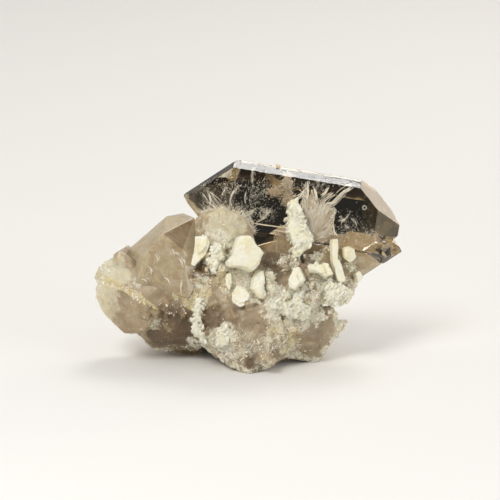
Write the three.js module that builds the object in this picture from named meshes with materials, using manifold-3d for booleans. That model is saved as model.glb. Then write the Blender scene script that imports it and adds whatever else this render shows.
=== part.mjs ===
// A hand specimen of smoky quartz with barite: one mass of intergrown quartz crystals,
// with tabular barite crystals seated in it. Millimetres, +Z up, the front towards -Y.
import * as THREE from "three";
import { ConvexGeometry } from "three/addons/geometries/ConvexGeometry.js";
import { mergeVertices } from "three/addons/utils/BufferGeometryUtils.js";
import Module from "manifold-3d";

const wasm = await Module();
wasm.setup();

// Driving dimensions
const leanBack = 15; // degrees from the face-on drawing to the way the stone stands
const poleAngle = 51.8; // degrees from quartz's long axis to a rhombohedral face's normal
const seatGap = 0.3; // clearance between a barite crystal and the quartz around it
const floorReach = 60; // half width of the block that trims the underside
const footprintMiddle = [-0.1, 8.85, 0]; // moved to the origin, under the middle of the stone

// The face-on drawing: u to the right, v up, w towards the viewer. It leans back to stand.
const stand = new THREE.Matrix4()
  .makeRotationX(THREE.MathUtils.degToRad(90 - leanBack))
  .setPosition(new THREE.Vector3(...footprintMiddle).negate());

// Colours and finishes, as the stone shows them
const quartzLook = { color: 0xc9b39c, roughness: 0.25, metalness: 0 };
const bariteLook = { color: 0xefebd8, roughness: 0.6, metalness: 0 };

// The quartz crystals. prism, tip and foot are the distances of their six faces each,
// counted from the front face round over the top.
const crystals = [
  {
    // the clear crystal, pointed at both ends
    centre: [5.5, 21.3, -4.7],
    axis: [0.987, -0.16, 0],
    prism: [3.2, 4.94, 3.65, 3.2, 5.72, 4.93],
    tip: [9.48, 9.18, 9.42, 8.32, 10.2, 10.15],
    foot: [10.1, 8.86, 7.4, 6.9, 8.6, 9.8],
  },
  {
    // the small crystal at its right end, grown parallel to it
    centre: [15.6, 15.9, -3.9],
    axis: [0.987, -0.16, 0],
    prism: [1.9, 1.7, 1.7, 1.9, 1.35, 1.3],
    tip: [2.6, 3.15, 3.05, 2.8, 2.5, 2.45],
    foot: [3, 3, 3, 3, 3, 3],
  },
  {
    // the smoky crystal below it
    centre: [9.1, 14.2, -5.6],
    axis: [0.987, -0.16, 0],
    prism: [3.3, 3.6, 3.4, 3.2, 3.6, 3.7],
    tip: [5.2, 6.4, 6.4, 5.0, 4.3, 4.4],
    foot: [6, 6, 6, 6, 6, 6],
  },
];

// Uneven crystals and broken pieces of quartz, each given by its corners.
const blocks = [
  {
    name: "left crystal", // the smoky one, pointing up to the clear crystal
    grains: 0,
    corners: [
      [-15.35, 15.85, -5.4], [-10.63, 20.05, -5.4], [-8.5, 20.56, -7.4],
      [-6.82, 19.92, -4.6], [-10.82, 17.69, -1.3], [-13.15, 14.95, -1.3],
      [-6.69, 17.9, -1.2], [-14.2, 11.6, -1.4], [-7.5, 9.6, -0.9], [-5.3, 13.5, -1.0],
      [-15.2, 14.4, -9.3], [-10.3, 19.2, -9.6], [-6.3, 18.8, -9.0], [-12.5, 8.2, -8.5],
      [-5.0, 10.0, -9.0], [-15.8, 12.6, -5.0],
    ],
  },
  {
    name: "left end",
    grains: 3,
    corners: [
      [-18.9, 11.6, -2.2], [-15.2, 10.5, -0.7], [-13.4, 9.1, -0.3], [-12.1, 6.8, -0.6],
      [-13.2, 5.3, -1.6], [-15.8, 5.0, -2.4], [-18.4, 7.6, -3.0], [-19.4, 9.6, -3.0],
      [-19.6, 10.9, -6.0], [-18.6, 7.6, -7.5], [-15.0, 5.0, -8.5], [-11.5, 5.0, -9.0],
      [-17.5, 12.5, -8.5], [-12.0, 11.0, -10.0],
    ],
  },
  {
    name: "left knob",
    grains: 5,
    corners: [
      [-17.9, 14.5, -4.5], [-19.2, 13.7, -5.0], [-19.8, 12.2, -4.5], [-19.0, 11.2, -2.6],
      [-17.2, 13.2, -2.5], [-15.4, 12.4, -1.8], [-15.0, 14.6, -3.5], [-16.2, 15.4, -5.0],
      [-15.2, 15.8, -5.8], [-17.5, 13.5, -8.5], [-15.0, 14.0, -9.0], [-18.8, 11.5, -8.0],
      [-15.0, 10.6, -1.4], [-12.6, 13.4, -2.2],
    ],
  },
  {
    name: "left shoulder",
    grains: 3,
    corners: [
      [-16.0, 11.3, -1.9], [-13.6, 9.6, -0.9], [-12.0, 8.3, -1.0], [-9.5, 7.4, -1.2],
      [-6.2, 8.2, -1.4], [-5.2, 12.0, -1.6], [-6.6, 14.0, -1.8], [-13.0, 13.6, -1.9],
      [-15.6, 13.0, -2.6], [-15.0, 12.0, -9.0], [-6.0, 13.0, -9.0], [-6.5, 8.0, -9.0],
      [-13.5, 8.0, -9.0],
    ],
  },
  {
    name: "left underside",
    grains: 2,
    corners: [
      [-12.6, 8.2, -1.7], [-6.4, 8.8, -1.6], [-4.9, 6.0, -2.4], [-5.0, 3.9, -4.0],
      [-6.8, 2.6, -7.0], [-7.7, 2.45, -9.1], [-10.5, 2.7, -9.0], [-12.2, 3.1, -6.5],
      [-13.6, 4.4, -4.6], [-14.5, 5.2, -6.0], [-10.4, 4.4, -2.9], [-6.0, 8.0, -11.0],
      [-12.0, 8.0, -11.5], [-9.0, 3.2, -12.0],
    ],
  },
  {
    name: "milky top",
    grains: 14,
    corners: [
      [-6.7, 19.8, -2.4], [-5.6, 20.6, -2.1], [-3.1, 21.15, -1.7], [-0.6, 20.1, -1.3],
      [0.7, 18.3, -1.0], [1.1, 16.6, -0.7], [-6.6, 15.6, -1.5], [-2.0, 15.6, 0.3],
      [-5.3, 18.6, -0.9], [-2.8, 19.0, -0.4], [-4.6, 16.6, -0.3], [-6.0, 19.8, -6.0],
      [-0.6, 19.4, -6.0], [0.6, 15.0, -6.5], [-6.0, 15.0, -6.5],
    ],
  },
  {
    name: "rimmed plate",
    grains: 4,
    corners: [
      [-6.2, 9.8, -0.9], [-3.0, 9.6, -0.1], [-2.6, 5.6, 0.3], [-4.0, 3.5, -0.2],
      [-5.9, 4.4, -0.9], [-6.6, 7.0, -1.2], [-6.2, 9.8, -5.0], [-3.0, 9.6, -5.0],
      [-5.6, 3.4, -5.0], [-3.0, 3.4, -5.0],
    ],
  },
  {
    name: "front foot",
    grains: 20,
    corners: [
      [-3.2, 9.4, 0.3], [0.5, 9.6, 0.9], [3.8, 8.8, 0.9], [4.6, 5.2, 0.8],
      [2.6, 3.0, 1.0], [-1.4, 3.2, 1.1], [-3.6, 5.0, 0.5], [0.4, -0.3, 0.2],
      [-2.0, 0.75, -0.6], [2.3, 0.45, -0.6], [-4.6, 2.6, -2.2], [5.2, 1.95, -2.6],
      [1.6, 0.65, -3.6], [-2.0, 0.7, -3.8], [5.0, 7.0, -5.0], [-4.0, 7.0, -5.0],
    ],
  },
  {
    name: "right foot",
    grains: 16,
    corners: [
      [8.4, 8.9, -1.5], [11.0, 8.0, -3.6], [12.05, 5.9, -4.2], [11.0, 4.8, -4.0],
      [10.6, 3.2, -4.6], [9.5, 1.45, -5.2], [8.4, 1.1, -5.0], [6.6, 1.7, -4.4],
      [6.2, 5.2, -0.4], [8.8, 4.4, -1.6], [5.5, 8.0, -0.2], [4.3, 2.2, -2.4],
      [4.2, 5.4, 0.1], [11.0, 6.5, -8.0], [8.2, 1.6, -7.2], [6.0, 8.0, -9.0],
    ],
  },
  {
    name: "right flank",
    grains: 14,
    corners: [
      [8.6, 9.0, -0.9], [10.3, 9.0, -2.0], [12.0, 9.2, -3.0], [13.9, 10.3, -3.5],
      [14.2, 11.6, -4.0], [14.6, 13.0, -4.2], [12.5, 15.6, -2.6], [10.0, 16.0, -1.8],
      [7.6, 15.0, -1.0], [6.6, 12.4, -0.1], [7.0, 9.6, 0.1], [13.5, 12.0, -8.5],
      [9.0, 14.5, -9.0], [9.5, 9.5, -8.5],
    ],
  },
  {
    name: "heart",
    grains: 12,
    corners: [
      [-7.0, 9.2, -1.3], [-3.6, 8.6, 0.0], [1.5, 8.6, 0.7], [5.2, 8.4, 0.5],
      [7.4, 9.2, -0.1], [7.0, 14.6, -1.1], [4.8, 15.2, -1.6], [1.2, 15.8, -0.9],
      [-1.8, 16.6, -0.3], [-5.2, 15.6, -0.8], [-6.6, 12.6, -1.3], [-5.5, 15.0, -8.0],
      [6.5, 15.0, -8.0], [7.0, 9.0, -8.0], [-5.5, 9.0, -8.0],
    ],
  },
];

// Rounded masses of quartz behind and under them, cut to flat facets. grains is how many
// small crystals crust each one.
const masses = [
  { centre: [-8.0, 6.0, -9.2], radii: [4.6, 4.3, 4.2], faces: 30, grains: 4 }, // left foot
  { centre: [-5.0, 11.0, -10.6], radii: [8.6, 7.0, 5.4], faces: 34, grains: 14 }, // back left
  { centre: [3.8, 10.6, -10.8], radii: [7.0, 7.0, 5.4], faces: 34, grains: 14 }, // back right
  { centre: [0.4, 6.6, -13.0], radii: [6.2, 3.6, 4.2], faces: 30, grains: 10 }, // rear foot
];

// Small crystals that crust the blocks and masses
const grainLength = [0.9, 1.9];
const grainWidth = [0.35, 0.7];
const grainOut = 0.45; // how far a grain stands out, as a share of its length

// The barite crystals. An outline is drawn face-on round its own centre, in order.
const barites = [
  {
    name: "barite_front_block",
    at: [-0.4, 15.0, 1.0],
    thickness: 2.8,
    turn: [-6, 10, 0],
    outline: [
      [-0.7, 2.5], [0.7, 2.5], [1.25, 1.5], [2.4, 0.25], [1.85, -0.7], [1.7, -1.3],
      [0.85, -2.1], [0.1, -1.7], [-0.8, -1.4], [-2.1, -1.35], [-2.35, -0.7], [-1.6, -0.05],
      [-1.35, 1.15],
    ],
  },
  {
    name: "barite_left_blade",
    at: [-5.9, 15.6, -0.6],
    thickness: 1.5,
    turn: [0, -8, 0],
    outline: [
      [-0.65, 1.9], [0.85, 1.9], [1.2, 1.1], [0.8, -0.3], [-0.8, -1.9], [-1.2, -1.7],
      [-0.85, -0.2],
    ],
  },
  {
    name: "barite_tall_blade",
    at: [6.4, 18.5, -1.2],
    thickness: 1.9,
    turn: [0, 6, 0],
    outline: [
      [-0.85, 3.65], [-0.35, 3.8], [0.35, 2.95], [0.45, 1.95], [1.2, 0.45], [2.15, -1.6],
      [1.1, -2.6], [0.1, -3.7], [-0.5, -3.55], [-0.65, -2.85], [-0.35, -2.2], [-1.0, -0.65],
      [-1.25, 0.1], [-1.0, 1.1], [-1.1, 1.55],
    ],
  },
  {
    name: "barite_small_pair",
    at: [9.4, 13.2, 0.2],
    thickness: 1.7,
    turn: [-10, 0, 0],
    outline: [
      [-1.65, 0.5], [-0.95, 0.6], [-0.2, 0.25], [0.4, 0.9], [1.0, 0.75], [1.65, -0.6],
      [0.5, -0.95], [-0.1, -0.5], [-0.5, -0.35], [-1.45, -0.25],
    ],
  },
  {
    name: "barite_standing_blade",
    at: [11.5, 14.4, -0.7],
    thickness: 1.6,
    turn: [0, 12, 0],
    outline: [
      [-0.7, 2.75], [0.05, 2.75], [0.0, -0.1], [0.65, -1.1], [0.95, -2.15], [0.9, -2.75],
      [0.05, -2.65], [-0.35, -1.3], [-0.7, -0.1], [-0.8, 1.7],
    ],
  },
  {
    name: "barite_round_tablet",
    at: [13.1, 15.25, -1.3],
    thickness: 1.5,
    turn: [8, 14, 0],
    outline: [
      [-0.8, 0.6], [-0.15, 1.0], [0.45, 0.75], [0.9, -0.25], [0.55, -0.75], [-0.15, -0.95],
      [-0.7, -0.5],
    ],
  },
  {
    name: "barite_diamond_tablet",
    at: [6.35, 12.0, 0.4],
    thickness: 1.6,
    turn: [-8, -10, 0],
    outline: [
      [-0.35, 1.35], [0.4, 1.55], [1.15, 0.0], [0.6, -0.65], [-0.1, -1.4], [-0.75, -1.25],
      [-0.95, -0.15],
    ],
  },
  {
    name: "barite_centre_blade",
    at: [1.4, 11.2, 0.6],
    thickness: 1.7,
    turn: [0, 16, 0],
    outline: [
      [-0.75, 0.9], [-0.1, 1.85], [0.5, 2.0], [0.7, 1.25], [0.7, -0.3], [0.9, -1.05],
      [0.55, -1.65], [-0.1, -1.65], [-0.45, -1.05], [-1.05, -0.3],
    ],
  },
  {
    name: "barite_lower_block",
    at: [-1.0, 9.7, 0.3],
    thickness: 1.6,
    turn: [-12, 0, 0],
    outline: [
      [-1.0, 0.4], [-0.2, 1.4], [0.9, 1.0], [1.5, 0.1], [1.2, -1.0], [0.1, -1.4],
      [-0.85, -0.8],
    ],
  },
  {
    name: "barite_upper_column",
    at: [-3.8, 14.6, 0.1],
    thickness: 1.6,
    turn: [0, -14, 0],
    outline: [
      [-0.65, 1.6], [0.6, 2.1], [0.95, 0.6], [0.25, -0.4], [0.15, -1.2], [-0.4, -1.75],
      [-0.8, -1.5],
    ],
  },
  {
    name: "barite_splinter",
    at: [-2.4, 11.8, 0.3],
    thickness: 1.2,
    turn: [0, 10, 0],
    outline: [[-0.35, 0.9], [0.3, 1.05], [0.45, -0.25], [0.05, -1.25], [-0.35, -0.5]],
  },
  {
    name: "barite_right_cluster",
    at: [11.5, 10.4, -1.2],
    thickness: 2.0,
    turn: [-6, 10, 0],
    outline: [
      [-1.7, 0.45], [-0.95, 1.45], [-0.35, 0.95], [0.85, 0.5], [1.7, -0.15], [1.4, -1.1],
      [0.0, -1.75], [-1.2, -1.25],
    ],
  },
  {
    name: "barite_middle_cluster",
    at: [5.4, 8.8, -0.2],
    thickness: 1.9,
    turn: [-8, 0, 0],
    outline: [
      [0.8, 1.5], [1.55, 1.35], [1.55, 0.0], [2.6, -1.0], [2.0, -1.75], [0.2, -1.75],
      [-0.8, -1.25], [-2.8, -0.4], [-2.55, 0.45], [-1.0, 0.35], [0.35, 0.45],
    ],
  },
  {
    name: "barite_lower_left_rim",
    at: [-6.1, 6.9, -0.9],
    thickness: 1.5,
    turn: [0, -16, 0],
    outline: [
      [-0.3, 2.7], [0.4, 2.7], [0.5, 1.75], [0.0, -0.2], [0.3, -1.85], [0.95, -3.0],
      [-0.55, -2.15], [-0.7, -0.5],
    ],
  },
  {
    name: "barite_foot_blade",
    at: [-2.9, 4.8, 0.7],
    thickness: 1.5,
    turn: [10, 0, 0],
    outline: [
      [-0.55, 0.8], [0.0, 1.5], [0.45, 0.65], [0.2, 0.0], [1.0, -0.35], [0.45, -1.15],
      [-0.8, -1.15], [-0.75, -0.3],
    ],
  },
  {
    name: "barite_right_chip",
    at: [14.2, 12.3, -3.0],
    thickness: 1.4,
    turn: [0, 25, 0],
    outline: [[-0.45, 0.45], [0.1, 0.8], [0.55, -0.1], [-0.1, -0.75]],
  },
];
const bariteBevel = 0.28; // how far the edges of a barite crystal are cut back

// A repeatable random number source, so that each build is the same.
function random(seed) {
  let state = seed;
  return () => {
    state = (state * 1664525 + 1013904223) % 4294967296;
    return state / 4294967296;
  };
}

// A closed solid from a geometry, with the vertices that faces share merged.
function solidOf(geometry) {
  const bare = geometry.clone();
  bare.deleteAttribute("normal");
  bare.deleteAttribute("uv");
  const merged = mergeVertices(bare, 1e-4);
  const index = merged.index.array;
  return new wasm.Manifold(
    new wasm.Mesh({
      numProp: 3,
      vertProperties: new Float32Array(merged.attributes.position.array),
      triVerts: new Uint32Array(index),
    }),
  );
}

function geometryOf(solid) {
  const mesh = solid.getMesh();
  const geometry = new THREE.BufferGeometry();
  geometry.setAttribute("position", new THREE.BufferAttribute(mesh.vertProperties, 3));
  geometry.setIndex(new THREE.BufferAttribute(mesh.triVerts, 1));
  return geometry;
}

// The point where three planes meet, or null where they don't meet in one.
function meetingPoint(a, b, c) {
  const bc = b.normal.clone().cross(c.normal);
  const volume = a.normal.dot(bc);
  if (Math.abs(volume) < 1e-6) return null;
  return bc
    .multiplyScalar(a.reach)
    .addScaledVector(c.normal.clone().cross(a.normal), b.reach)
    .addScaledVector(a.normal.clone().cross(b.normal), c.reach)
    .divideScalar(volume);
}

// The convex solid that face planes round a centre shut in.
function solidInside(planes, centre) {
  const corners = [];
  const count = planes.length;
  for (let i = 0; i < count; i++)
    for (let j = i + 1; j < count; j++)
      for (let k = j + 1; k < count; k++) {
        const point = meetingPoint(planes[i], planes[j], planes[k]);
        if (point && planes.every((p) => p.normal.dot(point) < p.reach + 1e-5))
          corners.push(point.add(centre));
      }
  return solidOf(new ConvexGeometry(corners));
}

// A quartz crystal: a six-sided prism shut at each end by six rhombohedral faces.
function quartzCrystal({ centre, axis, prism, tip, foot }) {
  const along = new THREE.Vector3(...axis).normalize();
  const front = new THREE.Vector3(0, 0, 1).addScaledVector(along, -along.z).normalize();
  const side = front.clone().cross(along);
  const pole = THREE.MathUtils.degToRad(poleAngle);
  const planes = [];
  for (let k = 0; k < 6; k++) {
    const round = (k * Math.PI) / 3;
    const out = front
      .clone()
      .multiplyScalar(Math.cos(round))
      .addScaledVector(side, Math.sin(round));
    const slope = out.clone().multiplyScalar(Math.sin(pole));
    const rise = Math.cos(pole);
    planes.push({ normal: out, reach: prism[k] });
    planes.push({ normal: slope.clone().addScaledVector(along, rise), reach: tip[k] });
    planes.push({ normal: slope.clone().addScaledVector(along, -rise), reach: foot[k] });
  }
  return solidInside(planes, new THREE.Vector3(...centre));
}

// Directions spread evenly over a sphere, each pushed a little off its place.
function spreadDirections(count, next) {
  const golden = Math.PI * (3 - Math.sqrt(5));
  return Array.from({ length: count }, (_, i) => {
    const height = 1 - (2 * (i + 0.5)) / count;
    const round = golden * i;
    const ring = Math.sqrt(1 - height * height);
    const push = () => (next() - 0.5) * 0.45;
    return new THREE.Vector3(
      ring * Math.cos(round) + push(),
      height + push(),
      ring * Math.sin(round) + push(),
    ).normalize();
  });
}

// A broken mass of quartz: an ellipsoid cut to flat facets.
function quartzMass({ centre, radii, faces }, seed) {
  const next = random(seed);
  const size = new THREE.Vector3(...radii);
  const planes = spreadDirections(faces, next).map((normal) => ({
    normal,
    reach: normal.clone().multiply(size).length() * (0.86 + 0.12 * next()),
  }));
  return solidInside(planes, new THREE.Vector3(...centre));
}

// A crystal or a broken piece that doesn't keep to quartz's own angles.
function quartzBlock({ corners }) {
  return solidOf(new ConvexGeometry(corners.map((corner) => new THREE.Vector3(...corner))));
}

// A small six-sided point that stands out of the quartz at seat, in the direction out.
function grain(seat, out, next) {
  const between = ([low, high]) => low + (high - low) * next();
  const length = between(grainLength);
  const width = between(grainWidth);
  const point = new THREE.CylinderGeometry(0, width, length * 0.45, 6);
  const shaft = new THREE.CylinderGeometry(width, width, length, 6);
  const lift = (shape, by) => solidOf(shape.translate(0, by, 0));
  const crystal = lift(shaft, 0).add(lift(point, length * 0.72));
  const turn = new THREE.Quaternion().setFromUnitVectors(new THREE.Vector3(0, 1, 0), out);
  const middle = seat.clone().addScaledVector(out, length * (grainOut - 0.5));
  const place = new THREE.Matrix4().compose(middle, turn, new THREE.Vector3(1, 1, 1));
  return crystal.transform(place.toArray());
}

function grainsOnMass({ centre, radii, grains }, seed) {
  const next = random(seed);
  const size = new THREE.Vector3(...radii);
  return spreadDirections(grains, next).map((out) => {
    const seat = out.clone().multiply(size).multiplyScalar(0.9);
    return grain(seat.add(new THREE.Vector3(...centre)), out, next);
  });
}

// They stand on a block's edges and corners, where crystals catch first.
function grainsOnBlock({ corners, grains }, seed) {
  const next = random(seed);
  const points = corners.map((corner) => new THREE.Vector3(...corner));
  const middle = points
    .reduce((sum, point) => sum.add(point), new THREE.Vector3())
    .divideScalar(points.length);
  const forward = points.filter((point) => point.z > middle.z);
  return Array.from({ length: grains }, () => {
    const from = forward[Math.floor(next() * forward.length)];
    const to = forward[Math.floor(next() * forward.length)];
    const seat = from.clone().lerp(to, next() * 0.8);
    const out = seat.clone().sub(middle).add(new THREE.Vector3(0, 0, 2)).normalize();
    return grain(seat, out, next);
  });
}

// A tabular barite crystal with bevelled edges. grow widens it all round.
function bariteCrystal({ at, thickness, turn, outline }, grow = 0) {
  const shape = new THREE.Shape(outline.map(([x, y]) => new THREE.Vector2(x, y)));
  const depth = thickness - 2 * bariteBevel;
  const tablet = new THREE.ExtrudeGeometry(shape, {
    depth,
    bevelEnabled: true,
    bevelSegments: 1,
    bevelThickness: bariteBevel + grow,
    bevelSize: bariteBevel + grow,
    bevelOffset: -bariteBevel,
  });
  tablet.translate(0, 0, -depth / 2);
  const [x, y, z] = turn.map(THREE.MathUtils.degToRad);
  const place = new THREE.Matrix4()
    .makeRotationFromEuler(new THREE.Euler(x, y, z))
    .setPosition(...at);
  return solidOf(tablet.applyMatrix4(place));
}

// The largest body of a solid, without loose crumbs or sealed hollows.
function largestBody(solid) {
  return solid
    .decompose()
    .reduce((best, body) => (body.volume() > best.volume() ? body : best));
}

function floorBlock() {
  const block = new THREE.BoxGeometry(2 * floorReach, 2 * floorReach, floorReach);
  return solidOf(block.translate(0, 0, -floorReach / 2));
}

function quartzCluster() {
  const bodies = [
    ...crystals.map(quartzCrystal),
    ...blocks.map(quartzBlock),
    ...masses.map((mass, i) => quartzMass(mass, 11 + i)),
    ...blocks.flatMap((block, i) => grainsOnBlock(block, 41 + i)),
    ...masses.flatMap((mass, i) => grainsOnMass(mass, 71 + i)),
  ];
  const grown = bodies.reduce((sum, body) => sum.add(body));
  const seats = barites.map((barite) => bariteCrystal(barite, seatGap));
  const seated = seats.reduce((left, seat) => left.subtract(seat), grown);
  return largestBody(seated.transform(stand.toArray()).subtract(floorBlock()));
}

function standing(solid) {
  return solid.transform(stand.toArray());
}

const specimen = new THREE.Group();
const quartzMaterial = new THREE.MeshStandardMaterial(quartzLook);
const quartz = new THREE.Mesh(geometryOf(quartzCluster()), quartzMaterial);
quartz.name = "quartz_cluster";
specimen.add(quartz);

for (const barite of barites) {
  const geometry = geometryOf(standing(bariteCrystal(barite)));
  const mesh = new THREE.Mesh(geometry, new THREE.MeshStandardMaterial(bariteLook));
  mesh.name = barite.name;
  specimen.add(mesh);
}

export default specimen;
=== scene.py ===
import itertools
import math
import random
import bpy
import bmesh
import numpy as np
from mathutils import Euler, Matrix, Vector, noise
from mathutils.bvhtree import BVHTree


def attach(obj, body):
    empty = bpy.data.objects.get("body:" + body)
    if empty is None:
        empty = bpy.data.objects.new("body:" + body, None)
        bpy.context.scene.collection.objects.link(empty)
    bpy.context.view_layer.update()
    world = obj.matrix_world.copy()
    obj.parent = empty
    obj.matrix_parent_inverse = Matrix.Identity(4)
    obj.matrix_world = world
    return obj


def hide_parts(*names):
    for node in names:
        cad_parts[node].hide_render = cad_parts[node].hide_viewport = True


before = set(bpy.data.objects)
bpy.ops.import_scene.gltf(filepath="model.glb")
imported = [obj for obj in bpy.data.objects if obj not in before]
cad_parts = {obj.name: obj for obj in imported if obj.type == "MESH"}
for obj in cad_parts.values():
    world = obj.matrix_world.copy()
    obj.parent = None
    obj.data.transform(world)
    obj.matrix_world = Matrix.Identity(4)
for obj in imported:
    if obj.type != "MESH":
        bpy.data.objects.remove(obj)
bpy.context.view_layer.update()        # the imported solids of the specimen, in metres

print("frame loaded:", len(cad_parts), "solids")

# Everything is drawn face-on in millimetres: u to the right, v up, w towards the viewer.
# standing leans it back to the way the stone stands, and turns it into metres.
leanBack = math.radians(15)
footprintMiddle = Vector((-0.1, 8.85, 0.0))
standing = (
    Matrix.Scale(0.001, 4)
    @ Matrix.Translation(-footprintMiddle)
    @ Matrix.Rotation(math.pi / 2 - leanBack, 4, "X")
)
poleAngle = math.radians(51.8)   # from quartz's long axis to the normal of a pointed end's face
quartzBend = 1.544               # how strongly quartz bends light

view = {
    "middle": (0.385, 15.77, 0.0),   # what the picture is centred on, face-on
    "distance": 550.0,               # a long lens
    "pictureWidth": 64.1,            # mm of the stone's plane across the picture
    "sensorWidth": 36.0,
}


def makeCamera():
    lens = bpy.data.cameras.new("camera")
    lens.sensor_width = view["sensorWidth"]
    lens.lens = view["sensorWidth"] * view["distance"] / view["pictureWidth"]
    lens.clip_start = 0.01
    camera = bpy.data.objects.new("camera", lens)
    bpy.context.collection.objects.link(camera)
    u, v, w = view["middle"]
    camera.location = standing @ Vector((u, v, w + view["distance"]))
    camera.rotation_euler = (math.pi / 2 - leanBack, 0.0, 0.0)
    bpy.context.scene.camera = camera


studio = {
    "floor": {"Base Color": (0.86, 0.85, 0.83), "Roughness": 0.9},
    "floorReach": 3.0,
    "sky": (1.0, 0.99, 0.97),
    # how strong the sky is by direction: from, to, and the strength at each
    "skyByDepth": (-1.0, 0.3, 0.16, 0.58),   # weaker on the viewer's side than behind
    "skyBySide": (0.35, 0.95, 0.0, 0.3),     # more towards the right
    # name: place in metres, size, watts, colour
    "lamps": {
        "keyLamp": ((-0.15, -0.21, 0.27), 0.15, 0.66, (1.0, 0.98, 0.95)),
        "sideLamp": ((-0.36, -0.30, 0.065), 0.30, 0.20, (1.0, 0.97, 0.93)),
        "fillLamp": ((0.22, -0.20, 0.12), 0.16, 0.17, (0.96, 0.98, 1.0)),
        "backLamp": ((0.05, 0.20, 0.30), 0.14, 0.28, (1.0, 0.99, 0.97)),
        "rimLamp": ((0.249, 0.249, 0.136), 0.145, 0.15, (1.0, 0.82, 0.62)),
    },
    "aim": (0.0, 0.0, 0.012),                # where the lamps point
    # a dark backdrop behind the stone, as for a photograph of glass: it shows through the
    # glass alone; it lies on the floor from near to far, and stands up there (metres)
    "backdrop": {"width": 0.16, "near": 0.012, "far": 0.045, "height": 0.075, "lift": 0.0002},
    "felt": {"Base Color": (0.012, 0.011, 0.010), "Roughness": 1.0, "Specular IOR Level": 0.0},
}


def makeSky():
    world = bpy.data.worlds.new("studio")
    world.use_nodes = True
    bpy.context.scene.world = world
    sky = {"nodes": world.node_tree.nodes, "links": world.node_tree.links}
    coords = sky["nodes"].new("ShaderNodeTexCoord")
    way = sky["nodes"].new("ShaderNodeSeparateXYZ")
    sky["links"].new(coords.outputs["Generated"], way.inputs["Vector"])
    strength = mathNode(
        sky, "ADD", rangeNode(sky, way.outputs["Y"], *studio["skyByDepth"]),
        rangeNode(sky, way.outputs["X"], *studio["skyBySide"]),
    )
    fill(sky, sky["nodes"]["Background"], {"Color": studio["sky"], "Strength": strength})


def addLamp(name, place, across, watts, colour):
    lamp = bpy.data.lights.new(name, "AREA")
    lamp.shape = "DISK"
    lamp.size = across
    lamp.energy = watts
    lamp.color = colour
    holder = bpy.data.objects.new(name, lamp)
    bpy.context.collection.objects.link(holder)
    holder.location = place
    toStone = Vector(studio["aim"]) - Vector(place)
    holder.rotation_euler = toStone.to_track_quat("-Z", "Y").to_euler()


def addSheet(name, corners, faces, paperName, inputs):
    mesh = bpy.data.meshes.new(name)
    mesh.from_pydata(corners, [], faces)
    paper = newMaterial(paperName)
    fill(paper, paper["shader"], inputs)
    mesh.materials.append(paper["material"])
    sheet = bpy.data.objects.new(name, mesh)
    bpy.context.collection.objects.link(sheet)
    return sheet


def makeStudio():
    bpy.context.scene.view_settings.view_transform = "Standard"
    makeSky()
    for name, lamp in studio["lamps"].items():
        addLamp(name, *lamp)
    reach = studio["floorReach"]
    corners = [(-reach, -reach, 0), (reach, -reach, 0), (reach, reach, 0), (-reach, reach, 0)]
    floor = addSheet("floor", corners, [(0, 1, 2, 3)], "floorPaper", studio["floor"])
    size = studio["backdrop"]
    side, near, far = size["width"] / 2, size["near"], size["far"]
    profile = [(near, size["lift"]), (far, size["lift"]), (far, size["height"])]
    corners = [(x, y, z) for y, z in profile for x in (-side, side)]
    faces = [(0, 1, 3, 2), (2, 3, 5, 4)]
    backdrop = addSheet("darkBackdrop", corners, faces, "backdropFelt", studio["felt"])
    backdrop.visible_camera = backdrop.visible_diffuse = backdrop.visible_glossy = False
    backdrop.visible_shadow = False


# Small helpers for shapes

def smoothStep(low, high, value):
    t = np.clip((value - low) / (high - low), 0.0, 1.0)
    return t * t * (3.0 - 2.0 * t)


def between(limits, share):
    return limits[0] + (limits[1] - limits[0]) * share


def scatter(rng, spread):
    # a random step, as far along each axis
    return Vector([rng.gauss(0, spread) for _ in range(3)])


def quartzFaces(shape):
    # the planes of a six-sided prism with six rhombohedral faces at each end
    along = Vector(shape["axis"]).normalized()
    front = (Vector((0, 0, 1)) - along * along.z).normalized()
    side = front.cross(along)
    faces = []
    for k in range(6):
        turn = math.radians(60 * k)
        out = front * math.cos(turn) + side * math.sin(turn)
        outward, lengthwise = out * math.sin(poleAngle), along * math.cos(poleAngle)
        faces.append((out, shape["prism"][k]))
        faces.append((outward + lengthwise, shape["tip"][k]))
        faces.append((outward - lengthwise, shape["foot"][k]))
    return faces


def quartzCorners(shape):
    faces = quartzFaces(shape)
    centre = Vector(shape["centre"])
    corners = []
    for (a, ra), (b, rb), (c, rc) in itertools.combinations(faces, 3):
        volume = a.dot(b.cross(c))
        if abs(volume) < 1e-6:
            continue
        point = (b.cross(c) * ra + c.cross(a) * rb + a.cross(b) * rc) / volume
        if all(n.dot(point) < reach + 1e-5 for n, reach in faces):
            corners.append(point + centre)
    return corners


def insideTest(shape, margin):
    # a function that says whether a point is inside the crystal, clear of its faces
    faces, centre = quartzFaces(shape), Vector(shape["centre"])

    def inside(point):
        fromCentre = Vector(point) - centre
        return all(n.dot(fromCentre) < reach - margin for n, reach in faces)

    return inside


def frontOf(mesh):
    # a function that drops a face-on point (u, v) onto the front of a mesh
    tree = BVHTree.FromPolygons(
        [v.co.copy() for v in mesh.vertices], [p.vertices[:] for p in mesh.polygons]
    )

    def drop(u, v, lift=0.0):
        hit = tree.ray_cast(Vector((u, v, 30.0)), Vector((0, 0, -1)))[0]
        return None if hit is None else hit + Vector((0, 0, lift))

    return drop


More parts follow.
